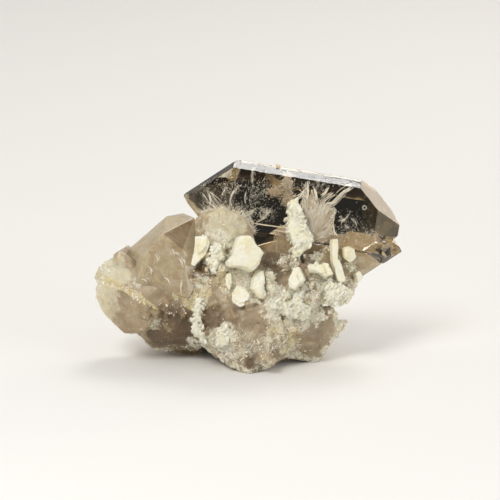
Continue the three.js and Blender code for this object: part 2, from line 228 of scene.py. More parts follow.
def hullMesh(corners, bevel=0.0, flatter=2.0):
    # faces that turn less than flatter, in degrees, become one
    bm = bmesh.new()
    for corner in corners:
        bm.verts.new(corner)
    bmesh.ops.remove_doubles(bm, verts=bm.verts, dist=1e-3)
    hull = bmesh.ops.convex_hull(bm, input=bm.verts)
    spare = hull["geom_interior"] + hull["geom_unused"]
    spare = {part for part in spare if isinstance(part, bmesh.types.BMVert)}
    bmesh.ops.delete(bm, geom=list(spare), context="VERTS")
    bmesh.ops.dissolve_limit(
        bm, angle_limit=math.radians(flatter), verts=bm.verts, edges=bm.edges
    )
    bmesh.ops.recalc_face_normals(bm, faces=bm.faces)
    if bevel:
        bmesh.ops.bevel(
            bm, geom=bm.edges[:], offset=bevel, segments=2, profile=0.7, affect="EDGES"
        )
    return meshFrom(bm, "hull")


def meshFrom(bm, name):
    mesh = bpy.data.meshes.new(name)
    bm.to_mesh(mesh)
    bm.free()
    mesh.update()
    return mesh


def ovalCorners(centre, radii, count, seed):
    # corners spread over an ellipsoid, each pushed a little off its place
    rng = random.Random(seed)
    golden = math.pi * (3 - math.sqrt(5))
    corners = []
    for i in range(count):
        height = 1 - 2 * (i + 0.5) / count
        ring = math.sqrt(1 - height * height)
        out = Vector((ring * math.cos(golden * i), height, ring * math.sin(golden * i)))
        out += Vector([rng.uniform(-0.22, 0.22) for _ in range(3)])
        out.normalize()
        corners.append(Vector(centre) + Vector([out[k] * radii[k] for k in range(3)]))
    return corners


def fusedMesh(parts, voxel, rounds=0):
    # closed parts that overlap become one skin, smoothed over a few rounds
    bm = bmesh.new()
    for part in parts:
        bm.from_mesh(part)
    holder = bpy.data.objects.new("work", meshFrom(bm, "joined"))
    bpy.context.collection.objects.link(holder)
    remesh = holder.modifiers.new("skin", "REMESH")
    remesh.mode = "VOXEL"
    remesh.voxel_size = voxel
    if rounds:
        smooth = holder.modifiers.new("ease", "SMOOTH")
        smooth.factor = 0.5
        smooth.iterations = rounds
    graph = bpy.context.evaluated_depsgraph_get()
    fused = bpy.data.meshes.new_from_object(holder.evaluated_get(graph))
    bpy.data.objects.remove(holder)
    return fused


def pointsOf(mesh):
    flat = np.empty(len(mesh.vertices) * 3)
    mesh.vertices.foreach_get("co", flat)
    return flat.reshape(-1, 3)


def normalsOf(mesh):
    flat = np.empty(len(mesh.vertices) * 3)
    mesh.vertex_normals.foreach_get("vector", flat)
    return flat.reshape(-1, 3)


def pushOut(mesh, amounts):
    moved = pointsOf(mesh) + normalsOf(mesh) * amounts[:, None]
    mesh.vertices.foreach_set("co", moved.ravel())
    mesh.update()


def sampled(points, scale, shift, read):
    # each shift reads its own part of the noise
    offset = Vector((shift, shift * 0.7, shift * 1.3))
    return np.array([read(Vector(p) * scale + offset) for p in points])


def cloudNoise(points, scale, octaves=3, shift=0.0):
    return sampled(points, scale, shift, lambda p: noise.fractal(p, 1.0, 2.0, octaves))


def cellNoise(points, scale, shift=0.0):
    # 1 in the middle of a cell, falling to its edges
    return sampled(points, scale, shift, lambda p: 1.0 - 1.4 * noise.voronoi(p)[0][0])


def blockNoise(points, scale, shift=0.0):
    # flat steps from -0.5 to 0.5, one for each blocky cell, as on a cleaved crystal
    def step(p):
        seat = noise.voronoi(p, distance_metric="CHEBYCHEV")[1][0]
        return math.sin(seat.x * 12.99 + seat.y * 78.23 + seat.z * 37.72) * 43758.55 % 1.0

    return sampled(points, scale, shift, step) - 0.5


def spotMask(points, spots, wobble):
    # spots are (u, v, radius, strength), soft and ragged at the rim
    mask = np.zeros(len(points))
    for u, v, radius, strength in spots:
        away = np.hypot(points[:, 0] - u, points[:, 1] - v) / radius + wobble
        mask = np.maximum(mask, strength * (1.0 - smoothStep(0.6, 1.2, away)))
    return mask


def lineMask(points, lines, wobble):
    # lines are (corners, radius, strength)
    mask = np.zeros(len(points))
    flat = points[:, :2]
    for corners, radius, strength in lines:
        for start, end in zip(corners, corners[1:]):
            start, end = np.array(start), np.array(end)
            way = end - start
            along = np.clip(((flat - start) @ way) / (way @ way), 0.0, 1.0)
            away = np.linalg.norm(flat - start - along[:, None] * way, axis=1) / radius
            mask = np.maximum(mask, strength * (1.0 - smoothStep(0.4, 1.2, away + wobble)))
    return mask


def writeMask(mesh, name, values, domain="POINT"):
    layer = mesh.attributes.new(name, "FLOAT", domain)
    layer.data.foreach_set("value", np.asarray(values, dtype=np.float32))


# A soup holds many small closed shapes that become one mesh

def newSoup():
    return {"points": [], "faces": [], "tint": []}


def addFaces(soup, points, faces, tint):
    start = len(soup["points"])
    soup["points"].extend(points)
    soup["faces"].extend(tuple(start + i for i in face) for face in faces)
    soup["tint"].extend([tint] * len(points))


def ownAxes(out):
    out = Vector(out).normalized()
    right = out.orthogonal().normalized()
    return out, right, out.cross(right)


def spoke(right, up, k, count):
    # the k-th of count directions around a shape
    turn = 2 * math.pi * k / count
    return right * math.cos(turn) + up * math.sin(turn)


def addStrand(soup, path, radius, tint, sides=4):
    # a closed hair that thins out at both ends
    points, faces = [], []
    last = len(path) - 1
    for i, place in enumerate(path):
        _, right, up = ownAxes(path[min(i + 1, last)] - path[max(i - 1, 0)])
        thin = radius * (0.25 if i in (0, last) else 1.0)
        points += [place + spoke(right, up, k, sides) * thin for k in range(sides)]
    for i in range(last):
        for k in range(sides):
            a, b = i * sides + k, i * sides + (k + 1) % sides
            faces.append((a, b, b + sides, a + sides))
    faces.append(tuple(reversed(range(sides))))
    faces.append(tuple(last * sides + k for k in range(sides)))
    addFaces(soup, points, faces, tint)


def addRing(soup, centre, radius, thickness):
    # a small closed ring that faces the viewer
    steps, sides = 14, 5
    points, faces = [], []
    for i in range(steps):
        out = spoke(Vector((1, 0, 0)), Vector((0, 1, 0)), i, steps)
        for k in range(sides):
            offset = spoke(out, Vector((0, 0, 1)), k, sides)
            points.append(Vector(centre) + out * radius + offset * thickness)
            a, b = i * sides + k, i * sides + (k + 1) % sides
            c = ((i + 1) % steps) * sides
            faces.append((a, b, c + (k + 1) % sides, c + k))
    addFaces(soup, points, faces, 0.0)


def addFlake(soup, centre, across, out, rng, tint):
    # a thin closed scale with a ragged rim
    out, right, up = ownAxes(out)
    count = rng.choice((4, 5, 6))
    points, faces = [], []
    for k in range(count):
        way = spoke(right, up, k + rng.uniform(-0.25, 0.25), count)
        points.append(centre + way * (across * rng.uniform(0.55, 1.0)))
        faces.append((k, (k + 1) % count, count))
        faces.append(((k + 1) % count, k, count + 1))
    points += [centre + out * across * 0.12, centre - out * across * 0.12]
    addFaces(soup, points, faces, tint)


def addGrain(soup, place, out, length, width, tint, sides=6):
    # a small pointed crystal
    out, right, up = ownAxes(out)
    points = []
    for level, size in ((-0.5, 1.0), (0.15, 0.9)):
        middle = place + out * length * level
        points += [middle + spoke(right, up, k, sides) * width * size for k in range(sides)]
    points.append(place + out * length * 0.5)
    faces = [tuple(reversed(range(sides)))]
    for k in range(sides):
        n = (k + 1) % sides
        faces.append((k, n, n + sides, k + sides))
        faces.append((k + sides, n + sides, 2 * sides))
    addFaces(soup, points, faces, tint)


# A small tablet's outline, with cut corners
plateletRim = [
    (-1, -0.55), (-0.6, -1), (0.65, -1), (1, -0.4), (1, 0.6), (0.5, 1), (-0.7, 1), (-1, 0.5),
]


def addPlatelet(soup, place, out, length, width, thickness, tint):
    out, right, up = ownAxes(out)
    points = []
    for side in (-0.5, 0.5):
        for a, b in plateletRim:
            corner = Vector(place) + right * a * width * 0.5 + out * b * length * 0.5
            points.append(corner + up * side * thickness)
    count = len(plateletRim)
    faces = [tuple(reversed(range(count))), tuple(range(count, 2 * count))]
    for k in range(count):
        n = (k + 1) % count
        faces.append((k, n, n + count, k + count))
    addFaces(soup, points, faces, tint)


def soupMesh(soup, name):
    mesh = bpy.data.meshes.new(name)
    mesh.from_pydata([tuple(p) for p in soup["points"]], [], soup["faces"])
    writeMask(mesh, "tint", soup["tint"])
    mesh.update()
    return mesh


def placePiece(name, mesh, material, nodes=("quartz_cluster",), smooth=True):
    mesh.name = name
    mesh.transform(standing)
    mesh.materials.clear()
    mesh.materials.append(material)
    mesh.shade_smooth() if smooth else mesh.shade_flat()
    piece = bpy.data.objects.new(name, mesh)
    bpy.context.collection.objects.link(piece)
    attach(piece, "root")
    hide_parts(*nodes)
    triangles = sum(len(p.vertices) - 2 for p in mesh.polygons)
    print("made", name, triangles, "triangles")


# Finishes

def newMaterial(name):
    material = bpy.data.materials.new(name)
    material.use_nodes = True
    tree = material.node_tree
    return {
        "material": material,
        "nodes": tree.nodes,
        "links": tree.links,
        "shader": tree.nodes["Principled BSDF"],
        "out": tree.nodes["Material Output"],
    }


def fill(finish, node, inputs):
    # numbers and colours go straight onto the node's own sockets, the rest is linked
    for key, value in inputs.items():
        socket = node.inputs[key]
        if isinstance(value, (int, float)):
            socket.default_value = value
        elif isinstance(value, tuple):
            socket.default_value = (*value, 1.0)[:len(socket.default_value)]
        else:
            finish["links"].new(value, socket)


def millimetres(finish):
    # object coordinates, scaled so that one unit is a millimetre
    coords = finish["nodes"].new("ShaderNodeTexCoord")
    scaled = finish["nodes"].new("ShaderNodeVectorMath")
    scaled.operation = "SCALE"
    fill(finish, scaled, {0: coords.outputs["Object"], "Scale": 1000.0})
    return scaled.outputs["Vector"]


def noiseNode(finish, where, scale, detail=4.0, roughness=0.55, distortion=0.0):
    node = finish["nodes"].new("ShaderNodeTexNoise")
    fill(finish, node, {
        "Vector": where, "Scale": scale, "Detail": detail,
        "Roughness": roughness, "Distortion": distortion,
    })
    return node.outputs["Fac"]


def rangeNode(finish, value, low, high, toLow=0.0, toHigh=1.0):
    node = finish["nodes"].new("ShaderNodeMapRange")
    node.interpolation_type = "SMOOTHSTEP"
    fill(finish, node, {
        "Value": value, "From Min": low, "From Max": high, "To Min": toLow, "To Max": toHigh,
    })
    return node.outputs["Result"]


def mathNode(finish, operation, a, b):
    node = finish["nodes"].new("ShaderNodeMath")
    node.operation = operation
    fill(finish, node, {0: a, 1: b})
    return node.outputs[0]


def times(finish, a, b):
    return mathNode(finish, "MULTIPLY", a, b)


def mixColour(finish, share, a, b):
    node = finish["nodes"].new("ShaderNodeMix")
    node.data_type = "RGBA"
    fill(finish, node, {0: share, 6: a, 7: b})
    return node.outputs[2]


def overlaid(finish, colour, layers):
    # each layer is (how much, colour), and lies over the ones before it
    for share, over in layers:
        colour = mixColour(finish, share, colour, over)
    return colour


def bumpNode(finish, height, strength, distance):
    # distance is in metres
    node = finish["nodes"].new("ShaderNodeBump")
    fill(finish, node, {"Height": height, "Strength": strength, "Distance": distance})
    return node.outputs["Normal"]


def maskNode(finish, name):
    node = finish["nodes"].new("ShaderNodeAttribute")
    node.attribute_type = "GEOMETRY"
    node.attribute_name = name
    return node.outputs["Fac"]


def raggedMask(finish, name, grain, low, high, spread=0.7):
    # a painted mask whose rim follows the grain of the stone
    grainShift = times(finish, mathNode(finish, "SUBTRACT", grain, 0.5), spread)
    return rangeNode(finish, mathNode(finish, "ADD", maskNode(finish, name), grainShift), low, high)


clearLook = {
    "roughness": 0.015,
    "ripple": (0.25, 0.00004),         # strength, and height in metres
    "towardsLamps": (0.98, 0.97, 0.94),
    "smoke": (0.65, 0.53, 0.26),
    "smokeDensity": 62.0,
}


def clearQuartz():
    finish = newMaterial("clearQuartz")
    shader, nodes = finish["shader"], finish["nodes"]
    ripple = noiseNode(finish, millimetres(finish), 1.4, 3.0, 0.5)
    fill(finish, shader, {
        "Base Color": (1.0, 1.0, 1.0), "Roughness": clearLook["roughness"], "IOR": quartzBend,
        "Transmission Weight": 1.0, "Normal": bumpNode(finish, ripple, *clearLook["ripple"]),
    })
    # rays to the lamps go through, a little dimmed, so that what the crystal holds is lit
    path = nodes.new("ShaderNodeLightPath")
    openWay = nodes.new("ShaderNodeBsdfTransparent")
    fill(finish, openWay, {"Color": clearLook["towardsLamps"]})
    either = nodes.new("ShaderNodeMixShader")
    fill(finish, either, {
        0: path.outputs["Is Shadow Ray"], 1: shader.outputs["BSDF"], 2: openWay.outputs["BSDF"],
    })
    smoke = nodes.new("ShaderNodeVolumeAbsorption")
    fill(finish, smoke, {"Color": clearLook["smoke"], "Density": clearLook["smokeDensity"]})
    fill(finish, finish["out"], {
        "Surface": either.outputs["Shader"], "Volume": smoke.outputs["Volume"],
    })
    return finish["material"]


# The enclosed hairs and flakes and the small marks: lighter and darker colour of each
inclusionLook = {
    "paleHairs": ((1.0, 0.98, 0.90), (0.94, 0.88, 0.74)),
    "paleSpecks": ((0.97, 0.95, 0.87), (0.88, 0.82, 0.68)),
    "crackWhite": ((0.97, 0.95, 0.87), (0.88, 0.82, 0.68)),
    "slitBrown": ((0.10, 0.06, 0.035), (0.16, 0.10, 0.05)),
    "tan": (0.77, 0.60, 0.38),         # what a tint of 1 turns them to
}


def inclusion(name):
    finish = newMaterial(name)
    light, dark = inclusionLook[name]
    uneven = noiseNode(finish, millimetres(finish), 1.1, 3.0)
    colour = overlaid(finish, light, [
        (rangeNode(finish, uneven, 0.35, 0.65), dark),
        (maskNode(finish, "tint"), inclusionLook["tan"]),
    ])
    fill(finish, finish["shader"], {
        "Base Color": colour, "Roughness": 0.6, "Specular IOR Level": 0.2,
    })
    return finish["material"]


# painted shade: a near-black brown for what lies hidden behind the clear crystal
paintedShadeBrown = (0.036, 0.022, 0.012)      # the hidden upper back below the clear crystal
warmDepth = (1.0, 0.72, 0.45)          # how far red, green and blue travel inside quartz

smokyLook = {
    "tan": (0.47, 0.35, 0.205), "lightTan": (0.58, 0.465, 0.29), "cloud": (0.66, 0.565, 0.40),
    "brown": (0.28, 0.185, 0.09), "speck": (0.70, 0.62, 0.46), "veil": (0.76, 0.68, 0.51),
    # the next two are the painted light and the painted shade of the left crystal's faces
    "paintedLitFace": (0.70, 0.61, 0.43), "paintedShadedFace": (0.22, 0.135, 0.055),
    "seeThrough": 0.25, "inner": 0.6, "innerDepth": 0.0014,   # depth in metres
}


def smokyQuartz():
    # see-through to a little depth, with cloudy patches and growth lines inside, and painted light
    # and painted shade on some faces
    finish, look = newMaterial("smokyQuartz"), smokyLook
    where = millimetres(finish)
    haze = noiseNode(finish, where, 0.30, 4.0, 0.6, 0.8)
    cloudy = noiseNode(finish, where, 0.95, 5.0, 0.62, 0.7)
    speck = noiseNode(finish, where, 3.4, 5.0, 0.7)
    veil = noiseNode(finish, where, 0.42, 6.0, 0.66, 1.8)
    rise, fall = (0.455, 0.50), (0.50, 0.545, 0.55, 0.0)
    veilLine = times(finish, rangeNode(finish, veil, *rise), rangeNode(finish, veil, *fall))
    colour = overlaid(finish, look["tan"], [
        (rangeNode(finish, haze, 0.36, 0.64), look["lightTan"]),
        (rangeNode(finish, cloudy, 0.47, 0.70, 0.0, 0.60), look["cloud"]),
        (rangeNode(finish, cloudy, 0.28, 0.46, 0.60, 0.0), look["brown"]),
        (rangeNode(finish, speck, 0.62, 0.72, 0.0, 0.3), look["speck"]),
        (veilLine, look["veil"]),
        # painted light and painted shade, face by face, on the left crystal
        (times(finish, maskNode(finish, "paintedLight"), 0.55), look["paintedLitFace"]),
        (times(finish, maskNode(finish, "shade"), 0.75), look["paintedShadedFace"]),
        # painted shade on the lower crystal's upper back
        (maskNode(finish, "paintedShade"), paintedShadeBrown),
    ])
    fill(finish, finish["shader"], {
        "Base Color": colour, "Roughness": rangeNode(finish, speck, 0.35, 0.7, 0.06, 0.18),
        "IOR": quartzBend, "Transmission Weight": look["seeThrough"],
        "Subsurface Weight": look["inner"], "Subsurface Radius": warmDepth,
        "Subsurface Scale": look["innerDepth"], "Normal": bumpNode(finish, speck, 0.25, 0.00005),
    })
    return finish["material"]


massLook = {
    "tan": (0.32, 0.235, 0.135), "lightTan": (0.46, 0.36, 0.225), "pale": (0.60, 0.53, 0.38),
    "brown": (0.19, 0.125, 0.06), "smoke": (0.105, 0.056, 0.016), "milk": (0.68, 0.63, 0.45),
    "thinWhite": (0.76, 0.70, 0.56), "crust": (0.62, 0.56, 0.41), "crustWhite": (0.87, 0.84, 0.69),
    "stain": (0.72, 0.61, 0.31), "flecks": (0.84, 0.81, 0.68),
    "inner": 0.7, "innerDepth": 0.0011,
}


def matrixQuartz():
    # the grown-together mass: tan quartz, brown windows, white crust and iron stain, and painted
    # shade below and behind the clear crystal
    finish, look = newMaterial("matrixQuartz"), massLook
    where = millimetres(finish)
    broad = noiseNode(finish, where, 0.36, 4.0, 0.6, 0.7)
    middle = noiseNode(finish, where, 1.2, 5.0, 0.65, 0.6)
    fine = noiseNode(finish, where, 4.2, 5.0, 0.72)
    smoke = raggedMask(finish, "smoke", middle, 0.05, 1.0, 0.9)
    milk = raggedMask(finish, "milk", middle, 0.10, 1.0, 0.9)
    thinWhite = raggedMask(finish, "crust", middle, -0.1, 0.8, 0.8)   # around the crust
    crustCover = raggedMask(finish, "crust", fine, 0.10, 0.66, 1.2)
    stain = raggedMask(finish, "stain", middle, 0.25, 0.8)
    crustWhite = mixColour(
        finish, rangeNode(finish, fine, 0.38, 0.62), look["crust"], look["crustWhite"]
    )
    flecks = times(
        finish, rangeNode(finish, fine, 0.58, 0.70, 0.0, 0.75),
        mathNode(finish, "ADD", crustCover, rangeNode(finish, middle, 0.42, 0.62, 0.14, 0.68)),
    )
    colour = overlaid(finish, look["tan"], [
        (rangeNode(finish, broad, 0.36, 0.66), look["lightTan"]),
        (rangeNode(finish, middle, 0.52, 0.74, 0.0, 0.6), look["pale"]),
        (rangeNode(finish, middle, 0.27, 0.43, 0.55, 0.0), look["brown"]),
        # the smoke mask also carries the painted shade below and behind the clear crystal
        (times(finish, smoke, 0.92), look["smoke"]),
        (milk, look["milk"]),
        (times(finish, thinWhite, 0.6), look["thinWhite"]),
        (crustCover, crustWhite),
        (times(finish, stain, 0.8), look["stain"]),
        (flecks, look["flecks"]),
        # painted shade below and behind the clear crystal
        (maskNode(finish, "paintedShade"), paintedShadeBrown),
    ])
    rough = rangeNode(finish, fine, 0.3, 0.7, 0.10, 0.26)
    rough = mathNode(finish, "ADD", times(finish, crustCover, 0.25), rough)
    height = mathNode(finish, "ADD", middle, times(finish, fine, 0.7))
    fill(finish, finish["shader"], {
        "Base Color": colour, "Roughness": rough, "IOR": quartzBend,
        "Subsurface Weight": look["inner"], "Subsurface Radius": warmDepth,
        "Subsurface Scale": look["innerDepth"], "Normal": bumpNode(finish, height, 0.7, 0.00014),
    })
    return finish["material"]


grainLook = {
    "white": (0.99, 0.935, 0.81), "tan": (0.80, 0.68, 0.48), "mottle": (0.93, 0.89, 0.74),
    "grey": (0.72, 0.64, 0.49), "roughness": 0.4, "inner": 0.2, "innerDepth": 0.0002,
}


def crustCrystals():
    finish, look = newMaterial("crustCrystals"), grainLook
    mottle = noiseNode(finish, millimetres(finish), 2.2, 4.0)
    colour = overlaid(finish, look["white"], [
        (maskNode(finish, "tint"), look["tan"]),
        (rangeNode(finish, mottle, 0.45, 0.7, 0.0, 0.5), look["mottle"]),
        (rangeNode(finish, mottle, 0.32, 0.48, 0.3, 0.0), look["grey"]),
    ])
    fill(finish, finish["shader"], {
        "Base Color": colour, "Roughness": look["roughness"], "IOR": quartzBend,
        "Subsurface Weight": look["inner"], "Subsurface Radius": (1.0, 0.85, 0.65),
        "Subsurface Scale": look["innerDepth"],
    })
    return finish["material"]


bariteLook = {
    "white": (0.90, 0.87, 0.72), "cream": (0.86, 0.79, 0.53), "bright": (0.97, 0.955, 0.89),
    # blades: a lighter colour for the small blades, painted light against the shade they cast on
    # each other
    "dull": (0.72, 0.64, 0.42), "blades": (0.98, 0.935, 0.765),
    "bend": 1.64, "inner": 0.3, "innerDepth": 0.0003,
}


def whiteBarite():
    finish, look = newMaterial("whiteBarite"), bariteLook
    where = millimetres(finish)
    broad = noiseNode(finish, where, 0.5, 4.0, 0.6, 0.4)
    fine = noiseNode(finish, where, 3.2, 5.0, 0.65)
    colour = overlaid(finish, look["white"], [
        (rangeNode(finish, broad, 0.4, 0.7), look["cream"]),
        (rangeNode(finish, fine, 0.52, 0.68, 0.0, 0.7), look["bright"]),
        (rangeNode(finish, fine, 0.30, 0.43, 0.45, 0.0), look["dull"]),
        # the small blades get a lighter colour: painted light against their shade on each other
        (times(finish, maskNode(finish, "tint"), 0.85), look["blades"]),
    ])
    fill(finish, finish["shader"], {
        "Base Color": colour, "Roughness": rangeNode(finish, fine, 0.3, 0.7, 0.34, 0.55),
        "IOR": look["bend"], "Subsurface Weight": look["inner"],
        "Subsurface Radius": (1.0, 0.85, 0.6), "Subsurface Scale": look["innerDepth"],
        "Normal": bumpNode(finish, fine, 0.8, 0.00012),
    })
    return finish["material"]


# The quartz crystals given by their faces: the clear one, pointed at both ends, the small one
# at its right end, and the smoky one below it
crystals = {
    "clear_crystal": {
        "centre": (5.5, 21.3, -4.7),
        "axis": (0.987, -0.16, 0.0),
        "prism": (3.2, 4.94, 3.65, 3.2, 5.72, 4.93),
        "tip": (9.48, 9.18, 9.42, 8.32, 10.2, 10.15),
        "foot": (10.1, 8.86, 7.4, 6.9, 8.6, 9.8),
        "bevel": 0.05,
        "slot": "clear_quartz",
    },
    "side_crystal": {
        "centre": (15.6, 15.9, -3.9),
        "axis": (0.987, -0.16, 0.0),
        "prism": (1.9, 1.7, 1.7, 1.9, 1.35, 1.3),
        "tip": (2.6, 3.15, 3.05, 2.8, 2.5, 2.45),
        "foot": (3, 3, 3, 3, 3, 3),
        "bevel": 0.05,
        "slot": "clear_quartz",
    },
    "lower_crystal": {
        "centre": (9.1, 14.2, -5.6),
        "axis": (0.987, -0.16, 0.0),
        "prism": (3.3, 3.6, 3.4, 3.2, 3.6, 3.7),
        "tip": (5.2, 6.4, 6.4, 5.0, 4.3, 4.4),
        "foot": (6, 6, 6, 6, 6, 6),
        "bevel": 0.08,
        "slot": "smoky_quartz",
    },
}


def makeCrystals(finishes):
    for name, shape in crystals.items():
        mesh = hullMesh(quartzCorners(shape), shape["bevel"])
        if shape["slot"] == "smoky_quartz":
            # its upper back, against the clear crystal, gets painted shade: a near-black brown
            hidden = [face.normal.z < 0.1 and face.normal.y > 0.0 for face in mesh.polygons]
            writeMask(mesh, "paintedShade", hidden, "FACE")
        placePiece(name, mesh, finishes[shape["slot"]], smooth=False)


# The smoky crystal on the left. Its corners are drawn one by one, because its faces are uneven.
leftCrystal = {
    "corners": [
        (-15.35, 15.85, -5.4), (-10.4, 20.15, -5.2), (-8.3, 20.56, -7.4), (-6.8, 19.95, -4.9),
        (-10.7, 17.9, -1.2), (-13.15, 14.95, -1.5), (-8.3, 15.8, -0.8), (-14.2, 11.6, -1.4),
        (-7.5, 9.6, -0.9), (-5.3, 13.5, -1.9), (-15.2, 14.4, -9.3), (-10.3, 19.2, -9.6),
        (-6.3, 18.8, -9.0), (-12.5, 8.2, -8.5), (-5.0, 10.0, -9.0), (-15.8, 12.6, -5.0),
    ],
    "bevel": 0.08,
    "flatter": 4.0,        # degrees
    # the next number is the painted light of the faces that aren't named
    "otherPaintedLight": 0.3,      # of the faces that aren't named
    "nearEnough": 0.96,    # how well a face has to match a direction
    # face-on direction of a face: how much painted light it gets, how much painted shade it gets
    "faces": [((0.01, 0.87, 0.49), 0.85, 0.0), ((0.39, 0.58, 0.72), 0.0, 0.75),
              ((0.60, 0.45, 0.67), 0.8, 0.0), ((-0.60, 0.67, 0.44), 0.6, 0.0)],
}


def makeLeftCrystal(smoky):
    # gives back its front, for the marks on it
    mesh = hullMesh(leftCrystal["corners"], leftCrystal["bevel"], leftCrystal["flatter"])
    # each face gets painted light and painted shade by which way it faces
    paintedLights, shades = [], []
    for face in mesh.polygons:
        paintedLight, shade, best = leftCrystal["otherPaintedLight"], 0.0, leftCrystal["nearEnough"]
        for way, light, dark in leftCrystal["faces"]:
            match = face.normal.dot(Vector(way).normalized())
            if match > best:
                paintedLight, shade, best = light, dark, match
        paintedLights.append(paintedLight)
        shades.append(shade)
    writeMask(mesh, "paintedLight", paintedLights, "FACE")
    writeMask(mesh, "shade", shades, "FACE")
    front = frontOf(mesh)
    placePiece("left_crystal", mesh, smoky, smooth=False)
    return front


# The grown-together mass behind and below the crystals: a left part and a right part.
# Blocks are given by their corners; ovals by centre, radii and how many corners.
masses = {
    "left_mass": {
        "voxel": 0.155,
        "blocks": {
            "leftEnd": [
                (-18.9, 11.6, -2.2), (-15.2, 10.5, -0.7), (-13.4, 9.1, -0.3), (-12.1, 6.8, -0.6),
                (-13.2, 5.3, -1.6), (-15.8, 5.0, -2.4), (-18.4, 7.6, -3.0), (-19.4, 9.6, -3.0),
                (-19.6, 10.9, -6.0), (-18.6, 7.6, -7.5), (-15.0, 5.0, -8.5), (-11.5, 5.0, -9.0),
                (-17.5, 12.5, -8.5), (-12.0, 11.0, -10.0),
            ],
            "leftKnob": [
                (-17.9, 14.5, -4.5), (-19.2, 13.7, -5.0), (-19.8, 12.2, -4.5), (-19.0, 11.2, -2.6),
                (-17.2, 13.2, -2.5), (-15.4, 12.4, -1.8), (-15.0, 14.6, -3.5), (-16.2, 15.4, -5.0),
                (-15.2, 15.8, -5.8), (-17.5, 13.5, -8.5), (-15.0, 14.0, -9.0), (-18.8, 11.5, -8.0),
                (-15.0, 10.6, -1.4), (-12.6, 13.4, -2.2),
            ],
            "leftShoulder": [
                (-16.0, 11.3, -1.9), (-13.6, 9.6, -0.9), (-12.0, 8.3, -1.0), (-9.5, 7.4, -1.2),
                (-6.2, 8.2, -1.4), (-5.2, 12.0, -1.6), (-6.6, 14.0, -1.8), (-13.0, 13.6, -1.9),
                (-15.6, 13.0, -2.6), (-15.0, 12.0, -9.0), (-6.0, 13.0, -9.0), (-6.5, 8.0, -9.0),
                (-13.5, 8.0, -9.0),
            ],
            "leftUnderside": [
                (-12.6, 8.2, -1.7), (-6.4, 8.8, -1.6), (-4.9, 6.0, -2.4), (-5.0, 3.9, -4.0),
                (-6.8, 2.6, -7.0), (-7.7, 2.45, -9.1), (-10.5, 2.7, -9.0), (-12.2, 3.1, -6.5),
                (-13.6, 4.4, -4.6), (-14.5, 5.2, -6.0), (-10.4, 4.4, -2.9), (-6.0, 8.0, -11.0),
                (-12.0, 8.0, -11.5), (-9.0, 3.2, -12.0),
            ],
        },
        "ovals": {
            "leftFoot": ((-8.0, 6.0, -9.2), (4.4, 4.1, 4.0), 40),
            "backLeft": ((-5.0, 11.0, -10.6), (8.1, 6.6, 5.0), 60),
        },
    },
    "right_mass": {
        "voxel": 0.175,
        "blocks": {
            "milkyTop": [
                (-6.7, 19.8, -2.4), (-5.6, 20.6, -2.1), (-3.1, 21.15, -1.7), (-0.6, 20.1, -1.3),
                (0.7, 18.3, -1.0), (1.1, 16.6, -0.7), (-6.6, 15.6, -1.5), (-2.0, 15.6, 0.3),
                (-5.3, 18.6, -0.9), (-2.8, 19.0, -0.4), (-4.6, 16.6, -0.3), (-6.0, 19.8, -6.0),
                (-0.6, 19.4, -6.0), (0.6, 15.0, -6.5), (-6.0, 15.0, -6.5),
            ],
            "rimmedPlate": [
                (-6.2, 9.8, -0.9), (-3.0, 9.6, -0.1), (-2.6, 5.6, 0.3), (-4.0, 3.5, -0.2),
                (-5.9, 4.4, -0.9), (-6.6, 7.0, -1.2), (-6.2, 9.8, -5.0), (-3.0, 9.6, -5.0),
                (-5.6, 3.4, -5.0), (-3.0, 3.4, -5.0),
            ],
            "frontFoot": [
                (-3.2, 9.4, 0.3), (0.5, 9.6, 0.9), (3.8, 8.8, 0.9), (4.6, 5.2, 0.8),
                (2.6, 3.0, 1.0), (-1.4, 3.2, 1.1), (-3.6, 5.0, 0.5), (0.4, -0.3, 0.2),
                (-2.0, 0.75, -0.6), (2.3, 0.45, -0.6), (-4.6, 2.6, -2.2), (5.2, 1.95, -2.6),
                (1.6, 0.65, -3.6), (-2.0, 0.7, -3.8), (5.0, 7.0, -5.0), (-4.0, 7.0, -5.0),
            ],
            "rightFoot": [
                (8.4, 8.9, -1.5), (11.0, 8.0, -3.6), (12.05, 5.9, -4.2), (11.0, 4.8, -4.0),
                (10.6, 3.2, -4.6), (9.5, 1.45, -5.2), (8.4, 1.1, -5.0), (6.6, 1.7, -4.4),
                (6.2, 5.2, -0.4), (8.8, 4.4, -1.6), (5.5, 8.0, -0.2), (4.3, 2.2, -2.4),
                (4.2, 5.4, 0.1), (11.0, 6.5, -8.0), (8.2, 1.6, -7.2), (6.0, 8.0, -9.0),
            ],
            "rightFlank": [
                (8.6, 9.0, -0.9), (10.3, 9.0, -2.0), (12.0, 9.2, -3.0), (13.9, 10.3, -3.5),
                (14.2, 11.6, -4.0), (14.6, 13.0, -4.2), (12.5, 15.6, -2.6), (10.0, 16.0, -1.8),
                (7.6, 15.0, -1.0), (6.6, 12.4, -0.1), (7.0, 9.6, 0.1), (13.5, 12.0, -8.5),
                (9.0, 14.5, -9.0), (9.5, 9.5, -8.5),
            ],
            "heart": [
                (-7.0, 9.2, -1.3), (-3.6, 8.6, 0.0), (1.5, 8.6, 0.7), (5.2, 8.4, 0.5),
                (7.4, 9.2, -0.1), (7.0, 14.6, -1.1), (4.8, 15.2, -1.6), (1.2, 15.8, -0.9),
                (-1.8, 16.6, -0.3), (-5.2, 15.6, -0.8), (-6.6, 12.6, -1.3), (-5.5, 15.0, -8.0),
                (6.5, 15.0, -8.0), (7.0, 9.0, -8.0), (-5.5, 9.0, -8.0),
            ],
        },
        "ovals": {
            "backLeft": ((-5.0, 11.0, -10.6), (7.9, 6.4, 4.8), 60),
            "backRight": ((3.8, 10.6, -10.8), (6.6, 6.6, 5.0), 60),
            "rearFoot": ((0.4, 6.6, -13.0), (5.9, 3.5, 4.0), 48),
        },
    },
}

